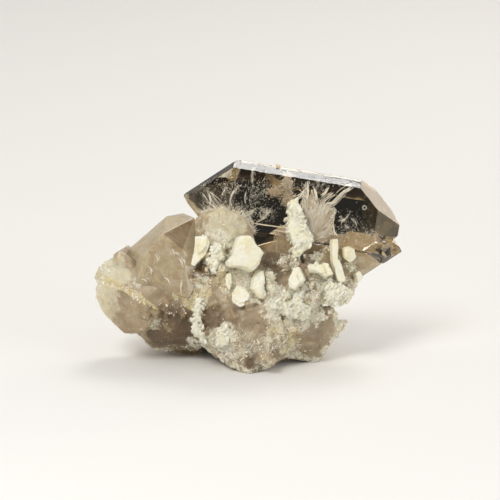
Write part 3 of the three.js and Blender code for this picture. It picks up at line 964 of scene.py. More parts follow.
# Where each finish lies, face-on: (u, v, radius, strength)
patches = {
    "crust": [
        (-19.3, 10.6, 1.0, 0.4), (-18.3, 13.6, 1.2, 0.4), (-3.9, 16.6, 1.9, 0.7),
        (-3.4, 14.2, 2.2, 0.9), (-1.0, 12.0, 2.6, 0.6), (2.2, 10.4, 2.2, 0.5),
        (4.6, 8.6, 2.6, 1.0), (6.6, 8.2, 2.4, 1.0), (6.6, 10.4, 1.8, 0.6),
        (10.6, 10.2, 2.8, 0.85), (9.0, 12.2, 2.0, 0.6), (12.2, 13.2, 2.2, 0.7),
        (8.6, 15.2, 1.8, 0.4), (-4.2, 3.9, 1.7, 0.9), (-2.4, 2.9, 1.8, 0.7),
        (-0.6, 4.6, 1.4, 0.25), (3.8, 4.4, 1.6, 0.4), (5.6, 3.0, 1.5, 0.45), (12.2, 5.9, 0.9, 1.0),
        (11.3, 4.3, 0.9, 0.9), (11.9, 7.4, 1.0, 1.0), (10.4, 2.6, 0.9, 0.7),
        (6.8, 6.6, 1.5, 0.8), (8.6, 7.9, 1.7, 0.9), (3.0, 9.7, 1.6, 0.9), (5.0, 6.3, 1.5, 0.8),
        (2.4, 3.7, 1.3, 0.3), (0.3, 3.1, 1.3, 0.3), (-1.0, 2.6, 1.3, 0.4), (-2.8, 4.4, 1.5, 0.6),
        (-4.8, 3.6, 1.2, 1.0), (12.9, 10.0, 1.4, 1.0), (14.0, 11.4, 1.2, 0.8), (9.6, 8.9, 1.5, 0.9),
        (-1.0, 1.3, 1.0, 0.3), (1.8, 1.4, 1.2, 0.3), (-11.8, 6.3, 0.9, 0.4), (-9.8, 8.2, 1.0, 0.15),
        (-7.6, 8.6, 1.0, 0.2), (-6.8, 3.4, 1.2, 0.7), (2.8, 12.4, 1.2, 0.6), (5.4, 14.4, 1.6, 0.45),
        (-8.4, 10.6, 1.2, 0.15), (-6.4, 7.2, 0.8, 0.9), (-5.8, 9.2, 0.9, 0.9),
        (-5.4, 4.4, 0.9, 0.9), (-2.4, 5.6, 1.0, 0.55), (1.6, 4.2, 1.2, 0.3), (-6.0, 11.5, 1.4, 0.6),
        (-14.4, 11.4, 1.0, 0.4),
    ],
    "stain": [
        (-8.4, 10.4, 1.3, 0.7), (-7.0, 9.4, 1.2, 0.9), (-5.4, 10.3, 0.9, 0.9),
        (-1.5, 18.1, 0.6, 0.35), (-4.9, 15.0, 0.7, 0.9), (-3.2, 12.2, 0.9, 0.8),
        (5.7, 4.3, 1.2, 0.6), (3.9, 5.7, 1.4, 0.5), (-10.2, 6.2, 1.2, 0.4),
    ],
    "smoke": [
        (-9.8, 6.2, 2.8, 0.8), (-7.6, 4.6, 2.6, 1.0), (-5.4, 13.4, 1.5, 0.9),
        (3.7, 14.6, 2.2, 1.0), (8.2, 15.2, 1.7, 1.0), (7.9, 11.2, 1.6, 1.0),
        (3.6, 12.6, 1.2, 0.7), (-6.4, 6.4, 1.4, 0.8),
        (-4.4, 7.0, 1.8, 0.7), (0.3, 2.8, 1.2, 0.5), (-2.0, 13.4, 1.0, 0.8),
        (-7.0, 3.0, 2.4, 1.0), (-11.0, 4.2, 2.2, 0.9), (-9.4, 7.6, 1.6, 0.7),
        (1.8, 12.4, 1.0, 0.6), (8.6, 5.6, 2.2, 0.45), (0.6, 0.9, 1.8, 0.8),
        (1.0, 6.8, 1.4, 0.25), (8.2, 2.2, 1.8, 0.5),
    ],
    "milk": [
        (-17.6, 12.8, 2.8, 1.1), (-19.2, 10.6, 2.0, 1.1), (-19.0, 8.4, 1.5, 1.0),
        (-18.0, 6.8, 1.1, 0.8), (-17.7, 10.2, 1.5, 0.9), (-17.5, 8.0, 1.2, 0.7),
        (2.9, 12.3, 1.1, 0.5), (4.5, 13.7, 1.3, 0.45), (-2.7, 9.6, 1.1, 0.6), (3.4, 10.6, 1.2, 0.5),
        (-4.4, 11.6, 1.0, 0.4), (9.0, 5.8, 1.6, 0.35), (13.0, 13.8, 1.3, 0.5), (0.3, 8.7, 1.0, 0.4),
        (-16.2, 14.6, 1.0, 0.3), (8.2, 2.6, 1.4, 0.4), (-1.2, 5.2, 1.4, 0.35),
        (2.0, 2.0, 1.2, 0.35), (-2.8, 18.8, 3.6, 0.9), (-17.2, 6.2, 1.2, 0.45),
        (-14.6, 4.9, 1.2, 0.3),
    ],
}

stubs = {
    "count": {"left_mass": 16, "right_mass": 130},
    "radius": (0.35, 1.05),
    "kinds": 8,            # how many different shapes
    "kindSeed": 3,
    "seedStep": 5,         # from a mass's seed to its stubs'
    "tries": 6000,
    "stretch": (0.9, 1.4),
    "sunk": 0.7,           # how deep they are seated, in sizes
    "knobStretch": (0.8, 1.1),
    "knobSunk": 0.75,
    "massBorder": -7.0,    # knobs left of this u stand on the left mass
    "plainLeft": -12.0,    # the front has no stubs left of this u
    "backDepth": -7.0,     # behind this w is the back
    "backShare": 0.6,      # how much of the back they cover
    "aboveFloor": 0.0012,  # metres
    "lean": 0.45,          # how far they lean from upright
    "larger": 1.7,         # how much larger they are on the back
    # larger knobs that show on the front: (u, v, size)
    "knobs": [
        (2.9, 12.3, 0.85), (4.5, 13.7, 1.05), (-2.7, 9.6, 0.9), (0.3, 8.7, 0.8), (6.2, 13.9, 0.8),
        (8.6, 11.2, 0.8), (13.0, 13.8, 0.9), (-4.4, 11.6, 0.9), (3.4, 10.6, 0.9), (-1.6, 7.3, 0.6),
        (-5.2, 12.9, 0.7), (10.3, 12.6, 0.8), (3.2, 6.9, 0.7), (7.9, 9.3, 0.8), (-3.9, 8.6, 0.6),
        (9.3, 7.2, 0.6), (-0.8, 4.6, 0.6), (2.4, 2.4, 0.6), (-16.4, 14.7, 0.9), (-15.2, 13.9, 0.8),
        (-10.4, 8.9, 0.8), (-8.4, 7.9, 0.7), (-12.9, 7.4, 0.6),
    ],
}


def stubKinds():
    # short six-sided crystals, one unit across, each a little uneven
    rng = random.Random(stubs["kindSeed"])
    kinds = []
    for _ in range(stubs["kinds"]):
        kinds.append(quartzCorners({
            "centre": (0, 0, 0), "axis": (0, 1, 0),
            "prism": [rng.uniform(0.8, 1.15) for _ in range(6)],
            "tip": [1.45 * rng.uniform(0.88, 1.1) for _ in range(6)],
            "foot": [1.9] * 6,
        }))
    return kinds


def stubMesh(seat, up, size, stretch, kinds, rng):
    turn = Vector((0, 1, 0)).rotation_difference(up).to_matrix().to_4x4()
    grow = Matrix.Diagonal((size, size * rng.uniform(*stretch), size, 1.0))
    whole = Matrix.Translation(seat) @ turn @ grow
    return hullMesh([whole @ corner for corner in rng.choice(kinds)])


def knobParts(name, blocks, kinds, rng):
    fronts = [frontOf(block) for block in blocks]
    parts = []
    for u, v, size in stubs["knobs"]:
        seats = [seat for seat in (drop(u, v) for drop in fronts) if seat is not None]
        if (u < stubs["massBorder"]) == (name == "left_mass") and seats:
            seat = max(seats, key=lambda s: s.z)
            up = Vector((rng.gauss(0, 0.5), rng.gauss(0.25, 0.5), 1.0)).normalized()
            seat = seat - up * size * stubs["knobSunk"]
            parts.append(stubMesh(seat, up, size, stubs["knobStretch"], kinds, rng))
    return parts


def stubParts(name, blocks, kinds, rng):
    # they stand on the blocks wherever there is crust, and on the back
    surfaces = [(block, face) for block in blocks for face in block.polygons]
    totals = list(itertools.accumulate(face.area for _, face in surfaces))
    parts = []
    for _ in range(stubs["tries"]):
        if len(parts) == stubs["count"][name]:
            break
        pick = int(np.searchsorted(totals, rng.random() * totals[-1]))
        block, face = surfaces[min(len(surfaces) - 1, pick)]
        corner = block.vertices[rng.choice(face.vertices[:])].co
        place = face.center.lerp(corner, rng.uniform(0.1, 0.95))
        crusted = max(s * (math.hypot(place.x - u, place.y - v) < r)
                      for u, v, r, s in patches["crust"])
        if place.z < stubs["backDepth"]:
            crusted = stubs["backShare"]
        elif place.x < stubs["plainLeft"]:
            continue
        if rng.random() > crusted or (standing @ place).z < stubs["aboveFloor"]:
            continue
        up = (face.normal + scatter(rng, stubs["lean"])).normalized()
        size = between(stubs["radius"], rng.random() ** 1.6)
        if place.z < -8.0 and abs(place.x + 2.0) < 9.0 and 6.0 < place.y < 14.5:
            size *= stubs["larger"]
        elif place.z < -6.0 and rng.random() < 0.5:
            continue
        seat = place - up * size * stubs["sunk"]
        parts.append(stubMesh(seat, up, size, stubs["stretch"], kinds, rng))
    return parts


# Lines of corners, each with radius and strength, and how ragged their rims are: brown slots
# between the crystals, frosted rims, and iron stain along the seams
lines = {
    "smoke": (0.8, [
        ([(-1.3, 17.9), (-2.0, 16.4), (-2.8, 15.0)], 0.4, 1.0),
        ([(-6.2, 17.4), (-6.0, 14.2), (-6.8, 12.4)], 0.45, 0.9),
        ([(2.6, 9.8), (1.0, 8.7), (-1.4, 8.2)], 0.35, 0.7),
        ([(6.2, 4.6), (6.8, 2.6)], 0.4, 0.7),
    ]),
    "crust": (1.0, [
        ([(10.6, 8.9), (11.7, 8.3), (12.1, 7.3), (12.2, 5.9), (11.3, 4.7), (11.2, 3.4),
          (10.2, 1.9)], 0.65, 0.55),
        ([(-5.2, 4.4), (-4.6, 2.9), (-3.3, 2.3), (-2.2, 1.2), (0.2, 0.1), (2.2, 0.6),
          (3.4, 1.6)], 0.5, 0.5),
        ([(-6.3, 9.4), (-6.6, 7.6), (-6.2, 5.6), (-5.4, 4.4)], 0.6, 0.8),
        ([(-3.6, 18.0), (-3.9, 16.2), (-4.3, 14.2), (-3.4, 12.8), (-2.6, 11.6)], 0.7, 0.9),
        ([(9.4, 1.6), (8.2, 1.5), (6.6, 2.2), (5.2, 2.4)], 0.5, 0.7),
        ([(12.2, 9.2), (13.9, 10.4), (14.5, 12.0), (14.3, 13.2)], 0.7, 0.9),
    ]),
    "stain": (0.8, [
        ([(-18.4, 12.1), (-16.6, 11.2), (-15.2, 10.5), (-13.9, 9.8), (-12.9, 9.0),
          (-11.8, 7.9)], 0.55, 1.0),
        ([(-9.6, 11.2), (-8.6, 10.6), (-7.6, 9.9), (-6.4, 9.6)], 0.7, 0.9),
        ([(-4.6, 14.6), (-3.6, 13.4), (-3.0, 12.2), (-2.9, 10.9)], 0.5, 0.8),
        ([(5.9, 5.6), (5.6, 4.4), (4.9, 3.2)], 0.7, 0.6),
    ]),
}

# The milky top's ridges, from where they start to its rim
dome = {"middle": (-2.6, 16.6), "inner": 1.8, "outer": 4.2, "end": 5.6, "rays": 17.0}


def domeFibres(points):
    # fine ridges that run outwards to the rim of the milky top
    across, up = points[:, 0] - dome["middle"][0], points[:, 1] - dome["middle"][1]
    reach = np.hypot(across, up)
    turn = np.arctan2(up, across)
    rays = np.array([
        noise.fractal(
            Vector((t * dome["rays"] + 0.8 * math.sin(r * 2.1), r * 0.9, 3.0)), 0.8, 2.0, 4
        )
        for t, r in zip(turn, reach)
    ])
    near = smoothStep(dome["inner"], dome["outer"], reach) * (reach < dome["end"])
    near = near * smoothStep(0.2, 1.2, up) * (points[:, 2] > -5.0)
    return rays * near


# How the mass's skin is pushed out, in mm
relief = {
    "soft": 0.06, "sugar": 0.04, "smokeSunk": 0.06, "fibres": 0.08,
    "rimSugar": 0.10, "rimGrit": 0.06,
    "crustBlocks": 0.20, "crustSugar": 0.22, "crustGrit": 0.14, "crustThick": 0.05,
}


def massMasks(points):
    # where crust, stain, smoke and milk lie: drawn on the front, free on the back
    wobble = cloudNoise(points, 0.9) * 0.45
    front = smoothStep(-7.5, -4.5, points[:, 2])
    away = 0.5 + 0.5 * cloudNoise(points, 0.35, 2, 7.0)
    masks = {kind: spotMask(points, spots, wobble) * front for kind, spots in patches.items()}
    for kind, (ragged, drawn) in lines.items():
        masks[kind] = np.maximum(masks[kind], lineMask(points, drawn, wobble * ragged) * front)
    # painted shade: near-black brown below and behind the clear crystal
    paintedShade = smoothStep(-2.8, -3.8, points[:, 2]) * smoothStep(13.0, 14.2, points[:, 1])
    paintedShade *= smoothStep(-9.6, -8.4, points[:, 2]) * (points[:, 0] > -6.0)
    # the painted shade also goes into the smoke mask, and keeps crust, milk and stain off it
    masks["smoke"] = np.maximum(masks["smoke"], paintedShade)
    for kind in ("crust", "milk", "stain"):
        masks[kind] = masks[kind] * (1.0 - paintedShade)
    masks["paintedShade"] = paintedShade
    masks["crust"] *= 0.35 + 0.65 * smoothStep(-0.30, 0.10, cloudNoise(points, 1.3, 3, 17.0))
    masks["crust"] = np.maximum(masks["crust"], (1 - front) * smoothStep(0.45, 0.8, away))
    masks["smoke"] = np.maximum(masks["smoke"], (1 - front) * smoothStep(0.5, 0.2, away) * 0.7)
    return masks


def makeMass(name, shape, seed, finish):
    # gives back its skin and where the crust lies on it
    blocks = [hullMesh(corners) for corners in shape["blocks"].values()]
    for number, (centre, radii, count) in enumerate(shape["ovals"].values()):
        blocks.append(hullMesh(ovalCorners(centre, radii, count, seed + number)))
    rng, kinds = random.Random(seed + stubs["seedStep"]), stubKinds()
    grown = knobParts(name, blocks, kinds, rng) + stubParts(name, blocks, kinds, rng)
    mesh = fusedMesh(blocks + grown, shape["voxel"], 1)
    points = pointsOf(mesh)
    masks, fibres = massMasks(points), domeFibres(points)
    blocky, sugar = blockNoise(points, 0.9, 3.0), blockNoise(points, 2.1, 9.0)
    grit = cellNoise(points, 3.6, 4.0)
    rim = np.maximum(smoothStep(4.6, 2.6, points[:, 1]), smoothStep(10.2, 11.4, points[:, 0]))
    crusty = relief["crustBlocks"] * blocky + relief["crustSugar"] * sugar
    crusty += relief["crustGrit"] * grit + relief["crustThick"]
    pushOut(
        mesh,
        relief["soft"] * cloudNoise(points, 0.8, 3, 5.0) + relief["sugar"] * sugar
        - relief["smokeSunk"] * masks["smoke"]
        + rim * (relief["rimSugar"] * sugar + relief["rimGrit"] * grit)
        + relief["fibres"] * fibres + masks["crust"] * crusty,
    )
    masks["milk"] = np.clip(masks["milk"] * 0.75 + 0.5 * fibres, 0.0, 1.0)
    for kind, values in masks.items():
        writeMask(mesh, kind, values)
    keepAboveFloor(mesh)
    skin = mesh.copy()
    placePiece(name, mesh, finish)
    return skin, masks


def keepAboveFloor(mesh):
    # nothing goes through the surface that the stone rests on
    back = standing.inverted()
    for vertex in mesh.vertices:
        place = standing @ vertex.co
        if place.z < 0.0:
            place.z = 0.0
            vertex.co = back @ place


crust = {
    "count": {"left_mass": 3600, "right_mass": 10500},
    "quartzShare": 0.86,
    "aboveFloor": 0.0008,               # metres
    "lean": 0.42,
    "length": (0.14, 0.55),
    "width": (0.045, 0.14),
    "seed": 5,
    # a tan speck on the clear crystal's upper edge: place, spread, length, width
    "topGrain": ((3.97, 26.45, -3.3), 0.16, 0.55, 0.2),
    "topGrains": 7,
}


def makeCrust(name, skin, masks, finish):
    # small crystals scattered over the crusted parts of the mass
    rng = random.Random(crust["seed"])
    points, normals = pointsOf(skin), normalsOf(skin)
    patchy = smoothStep(-0.20, 0.15, cloudNoise(points, 1.4, 3, 23.0))
    wanted = masks["crust"] * (normals[:, 2] > -0.6) * (0.2 + patchy)
    wanted += 0.010 * (normals[:, 2] > 0.2) * (masks["paintedShade"] < 0.1)
    wanted += 0.8 * masks["stain"] * (masks["smoke"] < 0.5) * (normals[:, 2] > 0.0)
    greyer = smoothStep(-0.15, 0.35, cloudNoise(points, 0.4, 2, 11.0)) + masks["stain"]
    order = np.cumsum(wanted)
    soup = newSoup()
    for _ in range(crust["count"][name]):
        i = int(np.searchsorted(order, rng.random() * order[-1]))
        place, out = Vector(points[i]), Vector(normals[i])
        if (standing @ place).z < crust["aboveFloor"]:
            continue
        out = (out + scatter(rng, crust["lean"])).normalized()
        size = rng.random() ** 3.0
        length, width = between(crust["length"], size), between(crust["width"], size)
        tint = min(1.0, max(0.0, rng.gauss(0.15 + 0.45 * greyer[i], 0.2)))
        if rng.random() < crust["quartzShare"]:
            addGrain(soup, place, out, length, width, tint, 4)
        else:
            addPlatelet(soup, place, out, length * 0.85, width * 2.4, width, tint * 0.6)
    if name == "right_mass":
        middle, spread, length, width = crust["topGrain"]
        for _ in range(crust["topGrains"]):
            seat = Vector(middle) + scatter(rng, spread)
            out = (rng.gauss(0, 0.6), 1.0, rng.gauss(0.3, 0.6))
            addGrain(soup, seat, out, length, width, 1.0)
    mesh = soupMesh(soup, "crust")
    placePiece(name.replace("mass", "crust"), mesh, finish, smooth=False)


# The barite crystals, with the outlines, places and turns of the solids that they replace
barites = {
    "barite_front_block": {
        "at": (-0.4, 15.0, 1.0), "thickness": 2.8, "turn": (-6, 10, 0), "plates": 3, "rough": 0.9,
        "outline": [
            (-0.7, 2.5), (0.7, 2.5), (1.25, 1.5), (2.4, 0.25), (1.85, -0.7), (1.7, -1.3),
            (0.85, -2.1), (0.1, -1.7), (-0.8, -1.4), (-2.1, -1.35), (-2.35, -0.7), (-1.6, -0.05),
            (-1.35, 1.15),
        ],
    },
    "barite_left_blade": {
        "at": (-5.9, 15.6, -0.6), "thickness": 1.5, "turn": (0, -8, 0), "plates": 3, "rough": 0.8,
        "outline": [
            (-0.65, 1.9), (0.85, 1.9), (1.2, 1.1), (0.8, -0.3), (-0.8, -1.9), (-1.2, -1.7),
            (-0.85, -0.2),
        ],
    },
    "barite_tall_blade": {
        "at": (6.4, 18.5, -1.2), "thickness": 1.9, "turn": (0, 6, 0), "plates": 9, "crossed": 0.5,
        "rough": 1.1, "blades": 90,
        "outline": [
            (-0.85, 3.65), (-0.35, 3.8), (0.35, 2.95), (0.45, 1.95), (1.2, 0.45), (2.15, -1.6),
            (1.1, -2.6), (0.1, -3.7), (-0.5, -3.55), (-0.65, -2.85), (-0.35, -2.2), (-1.0, -0.65),
            (-1.25, 0.1), (-1.0, 1.1), (-1.1, 1.55),
        ],
    },
    "barite_small_pair": {
        "at": (9.4, 13.2, 0.2), "thickness": 1.7, "turn": (-10, 0, 0), "plates": 3, "rough": 0.9,
        "outline": [
            (-1.65, 0.5), (-0.95, 0.6), (-0.2, 0.25), (0.4, 0.9), (1.0, 0.75), (1.65, -0.6),
            (0.5, -0.95), (-0.1, -0.5), (-0.5, -0.35), (-1.45, -0.25),
        ],
    },
    "barite_standing_blade": {
        "at": (11.5, 14.4, -0.7), "thickness": 1.6, "turn": (0, 12, 0), "plates": 1, "rough": 0.7,
        "outline": [
            (-0.7, 2.75), (0.05, 2.75), (0.0, -0.1), (0.65, -1.1), (0.95, -2.15), (0.9, -2.75),
            (0.05, -2.65), (-0.35, -1.3), (-0.7, -0.1), (-0.8, 1.7),
        ],
    },
    "barite_round_tablet": {
        "at": (13.1, 15.25, -1.3), "thickness": 1.5, "turn": (8, 14, 0), "plates": 1, "rough": 0.8,
        "outline": [
            (-0.8, 0.6), (-0.15, 1.0), (0.45, 0.75), (0.9, -0.25), (0.55, -0.75), (-0.15, -0.95),
            (-0.7, -0.5),
        ],
    },
    "barite_diamond_tablet": {
        "at": (6.35, 12.0, 0.4), "thickness": 1.6, "turn": (-8, -10, 0), "plates": 2, "rough": 0.7,
        "outline": [
            (-0.35, 1.35), (0.4, 1.55), (1.15, 0.0), (0.6, -0.65), (-0.1, -1.4), (-0.75, -1.25),
            (-0.95, -0.15),
        ],
    },
    "barite_centre_blade": {
        "at": (1.4, 11.2, 0.6), "thickness": 1.7, "turn": (0, 16, 0), "plates": 3, "rough": 1.0,
        "outline": [
            (-0.75, 0.9), (-0.1, 1.85), (0.5, 2.0), (0.7, 1.25), (0.7, -0.3), (0.9, -1.05),
            (0.55, -1.65), (-0.1, -1.65), (-0.45, -1.05), (-1.05, -0.3),
        ],
    },
    "barite_lower_block": {
        "at": (-1.0, 9.7, 0.3), "thickness": 1.6, "turn": (-12, 0, 0), "plates": 2, "rough": 0.9,
        "outline": [
            (-1.0, 0.4), (-0.2, 1.4), (0.9, 1.0), (1.5, 0.1), (1.2, -1.0), (0.1, -1.4),
            (-0.85, -0.8),
        ],
    },
    "barite_upper_column": {
        "at": (-3.8, 14.6, 0.1), "thickness": 1.6, "turn": (0, -14, 0), "plates": 6,
        "crossed": 0.6, "rough": 1.2, "blades": 50,
        "outline": [
            (-0.65, 1.6), (0.6, 2.1), (0.95, 0.6), (0.25, -0.4), (0.15, -1.2), (-0.4, -1.75),
            (-0.8, -1.5),
        ],
    },
    "barite_splinter": {
        "at": (-2.4, 11.8, 0.3), "thickness": 1.2, "turn": (0, 10, 0), "plates": 1, "rough": 0.8,
        "outline": [(-0.35, 0.9), (0.3, 1.05), (0.45, -0.25), (0.05, -1.25), (-0.35, -0.5)],
    },
    "barite_right_cluster": {
        "at": (11.5, 10.4, -1.2), "thickness": 2.0, "turn": (-6, 10, 0), "plates": 12,
        "crossed": 0.8, "rough": 1.4, "blades": 170,
        "outline": [
            (-1.7, 0.45), (-0.95, 1.45), (-0.35, 0.95), (0.85, 0.5), (1.7, -0.15), (1.4, -1.1),
            (0.0, -1.75), (-1.2, -1.25),
        ],
    },
    "barite_middle_cluster": {
        "at": (5.4, 8.8, -0.2), "thickness": 1.9, "turn": (-8, 0, 0), "plates": 14,
        "crossed": 0.8, "rough": 1.4, "blades": 230,
        "outline": [
            (0.8, 1.5), (1.55, 1.35), (1.55, 0.0), (2.6, -1.0), (2.0, -1.75), (0.2, -1.75),
            (-0.8, -1.25), (-2.8, -0.4), (-2.55, 0.45), (-1.0, 0.35), (0.35, 0.45),
        ],
    },
    "barite_lower_left_rim": {
        "at": (-6.1, 6.9, -0.9), "thickness": 1.5, "turn": (0, -16, 0), "plates": 9,
        "crossed": 0.8, "rough": 1.4, "blades": 110,
        "outline": [
            (-0.3, 2.7), (0.4, 2.7), (0.5, 1.75), (0.0, -0.2), (0.3, -1.85), (0.95, -3.0),
            (-0.55, -2.15), (-0.7, -0.5),
        ],
    },
    "barite_foot_blade": {
        "at": (-2.9, 4.8, 0.7), "thickness": 1.5, "turn": (10, 0, 0), "plates": 5,
        "crossed": 0.6, "rough": 1.1, "blades": 60,
        "outline": [
            (-0.55, 0.8), (0.0, 1.5), (0.45, 0.65), (0.2, 0.0), (1.0, -0.35), (0.45, -1.15),
            (-0.8, -1.15), (-0.75, -0.3),
        ],
    },
    "barite_right_chip": {
        "at": (14.2, 12.3, -3.0), "thickness": 1.4, "turn": (0, 25, 0), "plates": 1, "rough": 0.8,
        "outline": [(-0.45, 0.45), (0.1, 0.8), (0.55, -0.1), (-0.1, -0.75)],
    },
}

# How every barite grows: smaller tablets in step with the main one, or crossed through it
growth = {
    "voxel": 0.08, "bevel": 0.03, "crossed": 0.2,        # how often, where a barite doesn't say
    "inStepShare": (0.4, 0.85), "inStepThicker": (0.2, 0.8), "inStepLoose": 0.05,
    "crossedShare": (0.25, 0.5), "crossedThinner": 0.5, "crossedLoose": 0.5,
    "crossedLift": (0.1, 0.5), "away": (0.3, 0.8),
    "steps": 0.10, "ragged": 0.035, "sunk": 0.02,        # of the skin, in mm
    "bladeLean": 0.8, "bladeLength": (0.35, 1.0), "bladeWidth": (0.3, 0.9),
    "bladeThickness": (0.09, 0.17),
}


def tabletMesh(outline, thickness):
    bm = bmesh.new()
    base = bm.faces.new([bm.verts.new((x, y, -thickness / 2)) for x, y in outline])
    grown = bmesh.ops.extrude_face_region(bm, geom=[base])
    lifted = [part for part in grown["geom"] if isinstance(part, bmesh.types.BMVert)]
    bmesh.ops.translate(bm, verts=lifted, vec=(0, 0, thickness))
    bmesh.ops.recalc_face_normals(bm, faces=bm.faces)
    bmesh.ops.bevel(
        bm, geom=bm.edges[:], offset=growth["bevel"], segments=1, profile=0.5, affect="EDGES"
    )
    return meshFrom(bm, "tablet")


def addBlades(mesh, count, rng):
    # small tablets that stand all over a rough group; their tint of 1 gives them a lighter colour,
    # painted light against the shade they cast on each other
    points, normals = pointsOf(mesh), normalsOf(mesh)
    soup = newSoup()
    for _ in range(count):
        i = rng.randrange(len(points))
        out = Vector(normals[i]) + scatter(rng, growth["bladeLean"])
        size = rng.random() ** 1.5
        length, width = between(growth["bladeLength"], size), between(growth["bladeWidth"], size)
        thickness = between(growth["bladeThickness"], size)
        addPlatelet(soup, points[i], out, length, width, thickness, 1.0)
    writeMask(mesh, "tint", np.zeros(len(points)))
    bm = bmesh.new()
    bm.from_mesh(mesh)
    bm.from_mesh(soupMesh(soup, "blades"))
    bm.to_mesh(mesh)
    bm.free()


def plateMesh(shape, rng):
    crossed = rng.random() < shape.get("crossed", growth["crossed"])
    share = rng.uniform(*growth["crossedShare" if crossed else "inStepShare"])
    x, y = rng.choice(shape["outline"])
    if crossed:
        thickness = shape["thickness"] * growth["crossedThinner"]
    else:
        thickness = shape["thickness"] + rng.uniform(*growth["inStepThicker"])
    plate = tabletMesh([(px * share, py * share) for px, py in shape["outline"]], thickness)
    loose = growth["crossedLoose" if crossed else "inStepLoose"]
    turn = Euler((rng.gauss(0, loose), rng.gauss(0, loose), rng.gauss(0, loose * 1.5)))
    lift = rng.uniform(*growth["crossedLift"]) * shape["thickness"] if crossed else 0.0
    away = (1 - share) * rng.uniform(*growth["away"])
    shift = Matrix.Translation((x * away, y * away, lift))
    plate.transform(shift @ turn.to_matrix().to_4x4())
    return plate


def makeBarite(name, shape, seed, finish):
    rng = random.Random(seed)
    parts = [tabletMesh(shape["outline"], shape["thickness"])]
    parts += [plateMesh(shape, rng) for _ in range(shape["plates"])]
    mesh = fusedMesh(parts, growth["voxel"])
    points = pointsOf(mesh)
    steps = blockNoise(points, 0.9, seed) + blockNoise(points, 2.6, seed + 2)
    ragged = cloudNoise(points, 6.0, 3, seed + 3)
    skin = steps * growth["steps"] + ragged * growth["ragged"] - growth["sunk"]
    pushOut(mesh, skin * shape["rough"])
    if "blades" in shape:
        addBlades(mesh, shape["blades"], rng)
    turn = Euler([math.radians(a) for a in shape["turn"]])
    mesh.transform(Matrix.Translation(shape["at"]) @ turn.to_matrix().to_4x4())
    placePiece(name, mesh, finish, [name])


